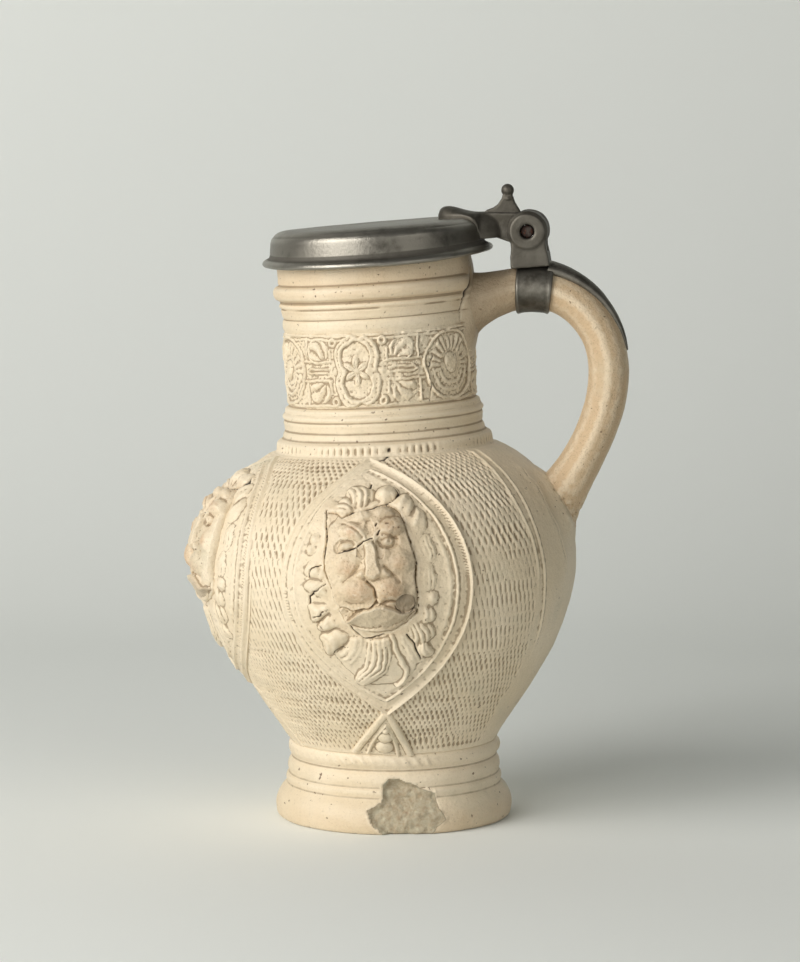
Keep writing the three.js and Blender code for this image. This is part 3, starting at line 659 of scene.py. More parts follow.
# The neck: outline points from the shoulder's seam to the lip, then down inside
neck = {
    "steps": 384, "step": 0.5, "teeth": 92, "toothDepth": 1.2,
    "crack": [(-9.5, 206.5), (-11.0, 203.5), (-17.5, 199.2), (-21.5, 195.5), (-23.6, 191.0), (-24.0, 188.4)],
    "crackWidth": 0.7, "perDegree": 0.66,  # millimetres round the wall
    "grooves": [(195.4, 0.9), (191.4, 0.35), (204.3, 0.4), (153.3, 0.35), (149.2, 0.35)],  # height, depth
    "rootRadius": 37.4,  # under the handle's root, where the clay is smeared
}
neckOutline = [
    (41.5, 141), (41.0, 141.5), (40.9, 143.6), (40.5, 145.0), (39.0, 145.8), (38.3, 146.4), (38.0, 148.2),
    (37.5, 148.8), (37.5, 151.4), (37.8, 152.2), (37.5, 153.0), (38.0, 153.8), (38.1, 154.9), (37.3, 155.6),
    (37.0, 156.4), (36.9, 157.6), (35.7, 158.2), (35.1, 158.6), (35.1, 186.6), (35.4, 187.3), (35.8, 188.4),
    (35.7, 190.8), (35.2, 191.5), (35.6, 192.2), (35.9, 194.6), (36.5, 195.1), (36.6, 196.9), (36.0, 197.5),
    (36.1, 198.1), (37.0, 198.8), (38.0, 199.4), (38.55, 201.2), (38.3, 202.9), (37.5, 203.8), (36.3, 204.4),
    (36.4, 205.2), (36.4, 220.6), (36.1, 221.9), (35.4, 222.4), (34.4, 222.3), (33.3, 221.5),
]
neckInside = [(31.8, 218), (31.3, 190), (31.2, 158.5), (34.0, 150), (37.1, 141)]


def shapeNeck(places):
    x, y, z = places.T
    azimuth, radius = np.arctan2(y, x), np.hypot(x, y)
    degrees = np.degrees(azimuth)
    out = radius > 34.2
    plain = smooth(z, 141, 142)
    calm = 0.18 * rough(x, y, z, 26, 31, 2) + 0.05 * rough(x, y, z * 4, 6, 32, 2)
    root = 1 - smooth(np.abs(degrees) + 2 * rough(x, y, z, 8, 34, 2), 9, 24)
    root = root * smooth(z, 168, 184) * smooth(-z, -216, -206)
    radius = np.where(out, radius + root * (neck["rootRadius"] + 2.4 * bell(z - 192, 9) - radius), radius)
    for level, deep in neck["grooves"]:
        uneven = 0.6 + 0.4 * smooth(grain(x, y, 0 * z + level, 9, 36), -0.4, 0.3)
        radius = radius - deep * uneven * bell(z - level, 0.42) * (1 - root) * out
    tooth = azimuth * neck["teeth"] / (2 * np.pi)
    tooth = np.abs(tooth - np.round(tooth)) * 2
    rubbed = 0.9 * smooth(degrees, -96, -84) * smooth(-degrees, -20, 0)
    worn = smooth(grain(x, y, z * 0, 16, 33) - rubbed, -0.7, 0.0)
    notch = smooth(tooth, 0.45, 0.9) * bell(z - 143.0, 1.5) * worn
    wander = 0.6 * rough(x, y, z, 3, 35, 2)
    crackLine = rounded([(a * neck["perDegree"], h) for a, h in neck["crack"]])
    crackAt, way = toLine(degrees * neck["perDegree"] + wander, z + wander, crackLine)
    crack = bell(crackAt, neck["crackWidth"] * (0.4 + bell(way - 8, 6)))
    hole = bell(np.hypot((degrees + 81.5) * 0.8 + 2 * wander, z - 143.4 + wander), 0.9)
    offset = (calm - neck["toothDepth"] * notch - 1.6 * crack - 1.3 * hole) * plain * out
    grown = (radius + offset) / np.hypot(x, y)
    # painted shadow under the handle's root, where the handle, lid and hinge shade the neck
    stain = 0.85 * (1 - smooth(np.abs(degrees), 10, 28)) * smooth(z, 168, 186)
    marks = {"crack": np.maximum(crack, hole), "warm": 0.35 * smooth(z, 186, 200), "stain": stain}
    return sag(x * grown, y * grown, z), {mark: values * out for mark, values in marks.items()}


neckForm = spun(fine(rounded(neckOutline, 1), neck["step"]) + neckInside, neck["steps"], closed=True)
makePiece("neck", neckForm, thrownClay, shape=shapeNeck, depth=0.2)
print("neck done")


# The foot, with the flake broken out of it
foot = {
    "steps": 520, "step": 0.5, "perDegree": 0.77,  # millimetres round the wall
    "flake": [  # azimuth and height of the break's edge
        (-90.4, 17.2), (-87.5, 20.0), (-81.0, 20.6), (-76.0, 19.6), (-70.2, 17.2), (-62.0, 15.3),
        (-61.0, 9.6), (-57.8, 5.2), (-63.0, 2.0), (-66.0, -2.0), (-87.5, -2.0), (-92.0, 2.2),
        (-97.5, 5.4), (-98.3, 9.2), (-91.2, 11.6),
    ],
    "flakeDepth": 2.3, "breakDepth": 0.5,  # in its middle, and at its sharp edge
}
footBase = [(0, 1.2), (20, 1.2), (36, 1.0)]
footOutline = [
    (40.5, 0.4), (42.8, 0.0), (43.9, 0.3), (44.6, 1.4), (45.0, 3.4), (44.9, 6.0),
    (44.2, 8.6), (42.9, 10.8), (41.3, 12.5), (40.7, 13.3), (41.0, 14.1), (41.1, 15.4), (40.7, 16.4),
    (39.9, 17.0), (40.2, 17.8), (40.4, 19.2), (40.1, 21.2), (39.5, 22.4), (39.0, 22.9), (38.7, 23.5),
    (39.2, 23.8), (39.0, 24.3), (39.6, 24.9), (40.0, 26.4), (39.9, 28.2), (39.5, 29.2), (39.2, 29.6),
]
footInside = [(34.8, 29.6), (24.3, 11), (15.7, pot["floorThickness"]), (0, pot["floorThickness"])]


def shapeFoot(places):
    x, y, z = places.T
    radius = np.maximum(np.hypot(x, y), 1e-6)
    azimuth = np.arctan2(y, x)
    degrees = np.degrees(azimuth)
    out = smooth(radius, 37.4, 38.4)
    calm = 0.3 * rough(x, y, z, 30, 41, 2) + 0.12 * rough(x, y, z * 3, 9, 42, 3)
    across = degrees * foot["perDegree"]
    flake = [(a * foot["perDegree"], h) for a, h in foot["flake"]]
    broken = inside(across + 0.8 * rough(x, y, z, 5, 43), z + 0.8 * rough(x, y, z, 4, 47), flake)
    edge = toLine(across, z, flake + flake[:1])[0]
    steep = 1 - 0.75 * smooth(degrees, -82, -64)
    bite = foot["breakDepth"] + smooth(edge, 0, 2.2) * (foot["flakeDepth"] - foot["breakDepth"])
    bite = broken * bite * steep * smooth(edge, 0, 0.2 + 2 * (1 - steep))
    lump = broken * waves(x, y, z, (0.55, 4.2, 44), (0.3, 1.3, 45, 2))
    roll = bell(z - 26.6, 1.6) * 0.5 * smooth(np.sin(azimuth * 62 + z * 1.1), -0.2, 0.7)
    roll = roll * smooth(grain(x, y, z * 0, 14, 48), -0.4, 0.3)
    nicks = bell(z - 0.3, 1.2) * smooth(rough(x, y, z, 3, 46), 0.55, 0.9) * 0.7
    offset = (calm * smooth(-z, -29.6, -28.2) + roll - bite - lump - nicks) * out
    grown = 1 + offset / radius
    bare = broken * out * smooth(edge, -0.1, 0.1 + 1.6 * (1 - steep))
    marks = {"bare": bare, "warm": 0.25 * smooth(-z, -14, -4) * out}
    return sag(x * grown, y * grown, np.maximum(z, 0)), marks


footForm = spun(footBase + fine(rounded(footOutline, 2), foot["step"]) + footInside, foot["steps"])
makePiece("foot", footForm, thrownClay, shape=shapeFoot, depth=0.34)
print("foot done")


# The handle, a rolled bar that spreads where it joins the pot
handle = {
    "sides": 96, "rings": 300, "halfThickness": 7.5, "halfWidth": 9.6, "rootFlare": 9.5, "rootZ": 194,
    "reach": 81.0, "endZ": 110, "belowPin": 14.1, "pastPin": 2,
}
crownZ = pin.z - handle["belowPin"] - handle["halfThickness"]
crownX = pin.x + handle["pastPin"]
sideZ = handle["endZ"] + 0.66 * (crownZ - handle["endZ"])
endX = pot["bellyRadius"] - 15


def handleLineOf():
    reach, endZ = handle["reach"], handle["endZ"]
    root = bezier(
        (pot["neckRadius"] - 9.6, handle["rootZ"]), (pot["neckRadius"], 0.5 * (handle["rootZ"] + crownZ)),
        (crownX - 9, crownZ), (crownX, crownZ), 200,
    )
    bend = bezier(
        (crownX, crownZ), (crownX + 0.55 * (reach - crownX), crownZ),
        (reach, sideZ + 0.55 * (crownZ - sideZ)), (reach, sideZ), 200,
    )
    tail = bezier(
        (reach, sideZ), (reach, sideZ - 0.3 * (sideZ - endZ)),
        (reach - 0.36 * (reach - endX), sideZ - 0.57 * (sideZ - endZ)), (endX, endZ), 200,
    )
    return np.vstack([root, bend[1:], tail[1:]]), wayAlong(root)[-1]


handleLine, rootWay = handleLineOf()
handleWay = wayAlong(handleLine)
handleSlope = np.gradient(handleLine, handleWay, axis=0)
handleSlope /= np.linalg.norm(handleSlope, axis=1)[:, None]
handleLength = handleWay[-1]
bandMiddle = rootWay + 0.5


def overHandle(distance, turn, height):
    # a point over the handle: the way along, the turn round the section from its outer crown, and the height
    mx, mz = (np.interp(distance, handleWay, handleLine[:, k]) for k in (0, 1))
    tx, tz = (np.interp(distance, handleWay, handleSlope[:, k]) for k in (0, 1))
    half = handle["halfThickness"] + handle["rootFlare"] * np.exp(-np.maximum(0, distance - 2.5) / 5.2)
    within = np.maximum(0, -np.cos(turn))
    half = half + (3.6 + 3.5 * within) * np.exp(-np.maximum(0, handleLength - 8 - distance) / 9)
    outward = (half + height) * np.cos(turn)
    sideways = (handle["halfWidth"] + 3 * np.exp(-distance / 5) + height) * np.sin(turn)
    back = 8 * np.exp(-distance / 6) * within  # the lower edge of the root meets the neck
    return np.stack([mx - tz * outward - back, sideways, mz + tx * outward], 1)


def keepInWall(placed, sink):
    # what would reach into the pot's cavity stays in the wall
    outline = np.array([(pot["waistRadius"], 20)] + [tuple(p) for p in bellyLine[::20]] + neckOutline[1:38])
    x, y, z = placed.T
    z0 = z - x * 2 * pot["sagBend"] * z  # where it was before the sag
    x0 = x + pot["sagBend"] * z0 * z0
    radius = np.hypot(x0, y)
    least = np.interp(z0, outline[:, 1], outline[:, 0]) - sink
    push = np.maximum(0, least - radius) / np.maximum(radius, 1)
    return np.stack([x + push * x0, y + push * y, z], 1)


def shapeHandle(places):
    x, y, z = places.T
    turn = np.arctan2(y, x)
    rim = np.hypot(x, y)
    distance = z * handleLength
    surface = overHandle(distance, turn, 0)
    sx, sy, sz = surface.T
    facets = 0.16 * np.cos(turn * 5 + 0.8) + 0.1 * np.cos(turn * 9 + distance * 0.02)
    calm = facets + waves(sx, sy, sz, (0.4, 24, 51, 2), (0.08, 3, 53, 2))
    crumble = smooth(distance, handleLength - 24, handleLength - 6)
    calm += crumble * (1.2 * rough(sx, sy, sz, 5, 54, 4) - 0.2)
    placed = overHandle(distance, turn, calm * smooth(distance, 4, 12))
    middle = overHandle(distance, turn * 0, -handle["halfThickness"])
    placed = middle + (placed - middle) * rim[:, None]
    warm = 0.1 + 0.75 * smooth(distance, 8, 42) + 0.15 * smooth(distance, 50, 110)
    # painted shadow on the handle near its root, where the lid and hinge shade it
    marks = {"warm": warm, "flush": 0.5 * crumble, "stain": 0.9 * (1 - smooth(distance, 14, 38))}
    return keepInWall(placed, 2.0), marks


def bar(sides, rings):
    # a closed round bar of radius 1 from z = 0 to 1
    outline = [(0, 0), (1, 0)] + [(1, step / rings) for step in range(1, rings + 1)] + [(0, 1)]
    return spun(outline, sides)


makePiece("handle", bar(handle["sides"], handle["rings"]), handleClay, stands=("handle",), shape=shapeHandle)
print("handle done")


# The medallions: an almond plate with two ridges at its edge, and the lion's mane and beard round the face.
# Their drawing is in x across the wall and y up along it, from the plate's middle.
plate = {
    "columns": 210, "rows": 300, "centre": 75.1, "halfWidth": 36.7, "halfHeight": 54.7, "point": 1.1,
    "innerHalfWidth": 30.2, "innerHalfHeight": 46.7, "innerPoint": 0.97,
    "base": 1.2, "ridge": 1.0, "nearFace": 2.7,
}

faceEdge = [
    (-15.1, 27.2), (-15.8, 23.9), (-15.4, 17.9), (-16.9, 9.8), (-16.9, 7.0), (-14.8, 0.7), (-14.7, -2.1),
    (-13.2, -6.0), (-11.0, -11.2), (-7.0, -14.6), (0.0, -15.6), (6.0, -15.4), (10.5, -13.0), (14.2, -9.6),
    (15.0, -4.6), (14.6, 3.0), (15.2, 8.4), (14.2, 12.7), (12.4, 19.4), (10.6, 25.6), (7.0, 28.6),
    (0.4, 27.4), (-5.6, 26.4), (-9.6, 24.9), (-12.0, 26.8),
]

# mane locks: middle, half sizes, turn in degrees, bend, taper, strands, their depth, top
locks = [
    (-3.2, 33.0, 5.6, 5.3, 8, 0.35, 0.0, 2.4, 0.6, 5.2),
    (5.9, 33.3, 4.5, 4.5, -12, -0.2, 0.1, 1.0, 0.2, 5.2),
    (-8.9, 29.1, 4.6, 4.0, 62, 0.3, -0.25, 2.0, 0.5, 4.7),
    (11.7, 28.7, 4.1, 4.7, -24, 0.2, 0.3, 1.4, 0.3, 4.4),
    (16.5, 22.4, 3.3, 5.6, -8, 0.2, 0.3, 1.2, 0.3, 3.7),
    (-20.2, 17.3, 2.3, 2.4, 30, 0.1, 0.0, 1.0, 0.1, 3.0),
    (-21.9, 14.2, 2.2, 2.1, 10, 0.1, 0.0, 1.0, 0.1, 2.9),
    (20.2, 12.4, 2.4, 5.0, 8, 0.1, 0.1, 1.6, 0.3, 2.5),
    (20.0, 2.0, 2.4, 5.0, -4, 0.15, 0.0, 1.6, 0.3, 2.5),
    (-20.3, 6.5, 4.1, 3.2, -28, 0.4, 0.25, 1.3, 0.35, 3.8),
    (-20.9, 1.2, 4.5, 3.3, -14, -0.35, 0.25, 1.3, 0.35, 3.9),
    (-20.5, -7.3, 4.3, 3.3, 22, 0.4, 0.2, 1.3, 0.35, 4.0),
    (-17.6, -12.4, 4.3, 3.2, 18, -0.35, 0.25, 1.3, 0.35, 4.1),
    (-15.5, -18.4, 6.2, 4.2, 36, 0.45, 0.35, 1.7, 0.45, 4.2),
    (20.2, -5.2, 2.5, 2.7, 0, 0.0, 0.0, 1.0, 0.1, 3.1),
    (17.7, -10.9, 3.5, 3.7, -10, 0.25, 0.15, 1.5, 0.4, 3.8),
    (15.1, -17.5, 4.8, 5.0, 10, 0.3, 0.2, 2.4, 0.6, 4.3),
    (15.1, -24.2, 3.0, 3.6, 12, -0.4, 0.3, 1.6, 0.4, 3.7),
]

# flows of the beard: their left and right edges, strands, depth of the furrows, top
beard = [
    ([(-10.6, -16.4), (-11.4, -20.6), (-13.8, -23.2), (-17.4, -23.2)],
     [(-5.0, -18.4), (-5.6, -24.0), (-8.4, -28.2), (-12.0, -31.4)], 3, 0.4, 3.4),
    ([(-4.4, -18.8), (-5.5, -26.6), (-8.5, -31.6), (-10.2, -34.4), (-10.0, -37.4)],
     [(4.4, -17.6), (4.7, -22.4), (4.2, -27.4), (2.4, -31.8), (-1.4, -35.8), (-6.6, -38.2), (-10.0, -37.6)],
     5, 0.5, 4.5),
    ([(5.6, -17.4), (6.3, -22.5), (8.2, -27.5), (9.8, -31.4)],
     [(9.8, -17.0), (11.2, -21.0), (14.0, -25.0), (15.8, -28.8)], 3, 0.35, 3.3),
]
beardRidge = rounded([(4.9, -17.5), (5.4, -22.5), (7.0, -27.7), (8.5, -31.3), (7.7, -35.0), (5.0, -38.4)], 2)

plateCracks = [  # line, half width
    ([(-9.6, 25.0), (-5.6, 27.0), (0.4, 28.0), (6.7, 29.3), (8.7, 31.0), (10.0, 33.3), (8.4, 36.6)], 0.42),
    ([(-15.3, 28.3), (-16.1, 23.9), (-15.6, 17.9), (-17.1, 9.8), (-17.0, 7.0), (-14.9, 0.7)], 0.26),
    ([(14.4, 12.7), (15.4, 8.4), (14.8, 3.0), (15.2, -4.6), (14.4, -9.6)], 0.2),
    ([(-9.6, -11.3), (-8.8, -14.2), (-5.6, -17.6), (-3.8, -18.2), (-1.5, -17.4), (3.0, -17.0)], 0.28),
    ([(10.1, -17.7), (12.2, -21.1), (13.5, -25.4), (14.6, -28.6)], 0.3),
    ([(-23.4, 4.8), (-22.8, 7.4), (-18.3, 9.1)], 0.3),
    ([(-24.2, -4.4), (-24.0, -2.0), (-20.2, -0.2), (-17.4, 2.6)], 0.34),
    ([(-23.4, -9.9), (-19.8, -9.2), (-17.2, -6.6)], 0.26),
    ([(-21.4, -11.8), (-20.0, -13.8)], 0.3),
    ([(-17.4, -24.4), (-16.1, -22.7), (-11.3, -21.3)], 0.3),
    ([(-0.2, 37.4), (0.4, 39.6)], 0.6),
]


def edgeGap(x, y, half, tall, point):
    # how far inside an almond's edge a point lies, square to the edge
    v = np.clip(np.abs(y) / tall, 0, 1)
    width = half * (1 - v * v) ** point
    slope = half * point * 2 * v / tall * np.maximum(1 - v * v, 0.05) ** (point - 1)
    return (width - np.abs(x)) / np.sqrt(1 + slope * slope), v


def edgeLines(x, y, gap, inner, slim, side):
    # what runs along the plate's edge: an outer ridge, an inner line with its groove, and rope nicks
    crisp = smooth(x, -14, 2) if side == 0 else 1.0
    wear = 0.5 + 0.5 * smooth(grain(x, y, 0 * x, 22, 60 + side) + 0.4 * x / 30, -0.7, 0.2)
    height = plate["base"] - 0.45 * bell(gap - 2.8, 1.3)
    height += (plate["ridge"] - 0.45 * slim) * bell(gap - 0.9, 0.62) * wear
    line = 0.85 * bell(inner, 0.55) - 0.45 * bell(inner - 1.3, 0.6) + 0.35 * bell(inner - 2.8, 1.0)
    faint = 0.3 * bell(gap - 4.2, 0.5) + 0.3 * bell(gap - 6.8, 0.5) + 0.4 * bell(gap - 6.4, 2.6)
    height += line * crisp * wear + (faint - 0.5 * bell(gap - 0.9, 0.4)) * (1 - crisp)
    nicked = smooth(-np.abs(y), -46, -38)
    if side == 0:
        nicked = smooth(x * y, 0, 40) * smooth(y, -14, -10) * smooth(-y, -30, -26)
    return height - 0.4 * smooth(np.sin(y * 6.1 + x * 1.5), 0.1, 0.9) * bell(gap - 2.1, 0.6) * nicked, crisp


def withMane(x, y, height, sink):
    # the locks round the face and the beard, added to the plate's height; sink is how much lower they lie
    for cx, cy, rx, ry, turn, bend, taper, strands, furrow, top in locks:
        swell, u, v = dome(x, y, (cx, cy), (rx, ry), math.radians(turn), bend, taper)
        grooves = 0.5 - 0.5 * np.cos(2 * np.pi * strands * u + 0.6)
        top = top - sink * (0.8 if cy > 24 else 0.5 if cy < -10 else 0)
        lump = 1.3 + (top - 1.3) * np.clip(swell, 0, 1) ** 1.3 - furrow * grooves * smooth(swell, 0.1, 0.6)
        height = np.where(swell > 0, over(height, lump, 0.5), height)
    mass, _, _ = dome(x, y, (0.0, -25.5), (13.5, 13.0))
    lump = 1.2 + (1.7 - 0.6 * sink) * np.clip(mass, 0, 1) ** 0.6
    height = np.where(mass > 0, over(height, lump, 0.5), height)
    for left, right, strands, furrow, top in beard:
        left, right = rounded(left), rounded(right)
        fromLeft, fromRight = toLine(x, y, left)[0], toLine(x, y, right)[0]
        share = fromLeft / np.maximum(fromLeft + fromRight, 1e-6)
        furrows = furrow * (0.5 + 0.5 * np.cos(2 * np.pi * strands * share))
        furrows *= 0.6 + 0.6 * grain(x, y, 0 * x, 5, 77)
        ends = smooth(-y, 16.0, 18.8) * smooth(toLine(x, y, [left[-1], right[-1]])[0], -0.5, 4)
        lump = 1.7 + ((top - 0.7 * sink - 1.7) * np.sqrt(4 * share * (1 - share)) - furrows) * ends
        height = np.where(inside(x, y, left + right[::-1]), over(height, lump, 0.35), height)
    strand = np.sqrt(np.clip(1 - (toLine(x, y, beardRidge)[0] / 1.3) ** 2, 0, 1))
    return over(height, (3.7 - sink) * strand, 0.4)


def cracksAlong(x, y, lines, breadth=1.0):
    # how near each point is to a crack, from 0 to 1
    return highest(*(bell(toLine(x, y, line)[0], width * breadth) for line, width in lines))


def plateSurface(x, y, side):
    # the plate's height over the wall and its marks; side 0 is the worn plate at the right, and side 1
    # the one that faces -X, with a slimmer edge and a lower mane
    straightX, straightY = x, y
    x = x + 0.5 * roughFlat(straightX, straightY, 5, 61)
    y = y + 0.5 * roughFlat(straightX, straightY, 5, 67)
    slim, sink = (1.4, 1.2) if side == 1 else (0, 0)
    gap, _ = edgeGap(straightX, straightY, plate["halfWidth"] - slim, plate["halfHeight"], plate["point"])
    innerSize = (plate["innerHalfWidth"], plate["innerHalfHeight"], plate["innerPoint"])
    inner, innerShare = edgeGap(0.7 * straightX + 0.3 * x, 0.7 * straightY + 0.3 * y, *innerSize)
    height, crisp = edgeLines(x, y, gap, np.where(innerShare < 1, inner, 99), slim, side)
    within = inside(x, y, faceEdge)
    fromFace = np.where(within, 0, toLine(x, y, faceEdge + faceEdge[:1])[0])
    rise = plate["nearFace"] - 0.5 * sink - plate["base"]
    field = plate["base"] + rise * (1 - smooth(fromFace, 0.5, 10.5))
    height = np.where(inner > 0, np.maximum(height, over(height, field, 0.4)), height)
    height = np.where(within, 1.5, withMane(x, y, height, sink))
    wander = 0.45 * roughFlat(straightX, straightY, 2.4, 71, 2)
    breadth = 0.7 + 0.5 * grain(x, y, 0 * x, 3, 79)
    crack = cracksAlong(straightX + wander, straightY - wander, plateCracks, breadth)
    height -= 1.2 * crack
    height += 0.2 * roughFlat(x, y, 6, 73) * smooth(inner, 0, 3) + 0.12 * roughFlat(x, y, 1.7, 75, 2)
    height = height * smooth(gap, -0.6, 0.7 + 2.0 * (1 - crisp) + slim) + 0.1
    chipped = bell(np.hypot(x - 20.6, y + 4.6), 1.8)
    flush = (0.5 if side == 1 else 0.3) * smooth(y, 20, 30) * smooth(-fromFace, -9, -1)
    marks = {"crack": crack * ~within, "warm": 0.3 * smooth(-fromFace, -9, 0) + 0.12}
    return height, {**marks, "flush": np.maximum(0.6 * chipped, flush)}


def laidOn(azimuth, centre, turn, x, y, height):
    # a drawing's point on the wall: turned a little, as it was laid by hand
    c, s = math.cos(math.radians(turn)), math.sin(math.radians(turn))
    along = centre + x * s + y * c
    across = x * c - y * s
    return overBelly(azimuth + across / bellyRadiusAt(along), along, height)


def shapePlate(azimuth, turn, centre, side):
    room = bellyLength - 0.8 - centre  # up to the shoulder

    def shape(places):
        u, v, level = places.T
        y = plate["halfHeight"] * v
        x = u * (0.4 + (plate["halfWidth"] - 0.4) * np.clip(1 - v * v, 0, 1) ** plate["point"])
        height, marks = plateSurface(x, y, side)
        height = plaqueHeight(level, np.where(np.abs(u) > 0.999, 0.1, height), -0.2, -1.1)
        up = np.interp(y, [-60, 36, plate["halfHeight"]], [-60, 36, min(plate["halfHeight"], room)])
        return laidOn(azimuth, centre, turn, x, up, height), marks

    return shape


# The lion's face: swellings first, then what is pressed or cut into them
face = {
    "size": 190, "middle": (-0.8, 6.4), "edgeHeight": 3.0, "crown": 6.1,
    "swellings": [  # brows, forehead, cheeks, muzzle, nostrils and eyes: middle, half sizes, turn, top
        (-5.8, 19.5, 5.1, 3.3, -14, 7.4), (7.1, 19.8, 5.5, 3.5, 14, 7.6),
        (-2.6, 24.4, 4.2, 2.3, 8, 6.4), (4.8, 25.2, 3.8, 2.2, -8, 6.2),
        (-8.6, 9.1, 5.4, 4.3, 24, 6.9), (9.5, 8.5, 4.7, 4.6, -20, 6.9),
        (-6.1, -0.1, 7.1, 5.1, -8, 7.9), (5.6, -0.3, 6.1, 4.9, 8, 7.9),
        (-3.6, 5.2, 2.6, 2.0, 20, 7.5), (4.1, 4.8, 2.6, 2.0, -20, 7.5), (0.4, 5.4, 3.7, 2.6, 0, 8.2),
        (-8.4, 14.5, 2.7, 1.5, 8, 6.0), (6.1, 15.5, 2.5, 1.9, -6, 6.5),
    ],
    "hollows": [  # middle, half sizes, depth
        (-8.6, 14.4, 3.9, 2.5, 1.2), (6.2, 15.4, 3.8, 2.8, 1.3),
        (-3.2, 12.6, 1.6, 3.4, 1.0), (2.9, 12.8, 1.5, 3.4, 1.0), (-0.2, 19.6, 1.6, 4.2, 0.8),
    ],
    "nose": ((-0.5, 16.2), (0.5, 4.6), 1.2, 2.5, 8.1),  # its root and tip, half widths there, top
    "mouth": [
        (-12.4, -4.4), (-7.4, -6.5), (-2.6, -6.1), (-0.8, -4.7), (0.5, -2.6), (1.6, -4.9), (0.2, -5.6),
        (-4.4, -7.3), (-9.5, -10.8), (-12.2, -9.2),
    ],
    "lipTop": ([-9.7, -4.4, 2.2, 6.4, 9.6, 12.9], [-10.7, -7.0, -5.2, -7.0, -8.6, -7.9]),
    "lipLow": ([-9.7, -8.1, -4.9, 0.3, 3.6, 8.8, 13.7], [-11.2, -12.2, -13.8, -13.6, -14.2, -12.2, -8.5]),
    "grooves": [  # line, half width, depth
        ([(-3.8, 8.7), (-6.9, 4.9), (-9.9, 3.2)], 0.8, 0.8),
        ([(4.1, 6.7), (6.5, 4.6), (9.0, 2.0)], 0.7, 0.8),
        ([(-1.8, 2.7), (0.2, -0.2), (0.5, -2.8)], 0.5, 1.9),
        ([(2.2, -5.2), (6.2, -3.6), (8.4, -5.0)], 0.6, 1.2),
        ([(-9.6, 22.4), (-7.0, 21.3), (-3.7, 19.4), (-2.6, 17.3)], 0.5, 0.5),
        ([(2.6, 17.6), (5.4, 18.0), (9.4, 16.2)], 0.45, 0.5),
        ([(3.4, 14.0), (6.4, 12.9), (9.2, 14.4)], 0.4, 0.4),
    ],
    "cracks": [
        ([(-10.6, 12.9), (-8.2, 13.0), (-4.5, 14.2), (-2.3, 15.9), (0.6, 16.5)], 0.22),
        ([(1.8, 20.6), (2.4, 21.6)], 0.25), ([(2.4, 17.6), (2.9, 18.6)], 0.25),
    ],
    "chip": (10.5, -5.2, 3.4, 3.0),  # middle, half sizes
    "blushes": [(-6, 19.5, 3.6), (7.5, 19.5, 4), (-8.5, 7.5, 3.8), (9.5, 8, 3.4), (-5, -1, 6), (6, -1, 5.5)],
    "highest": 8.15,
}


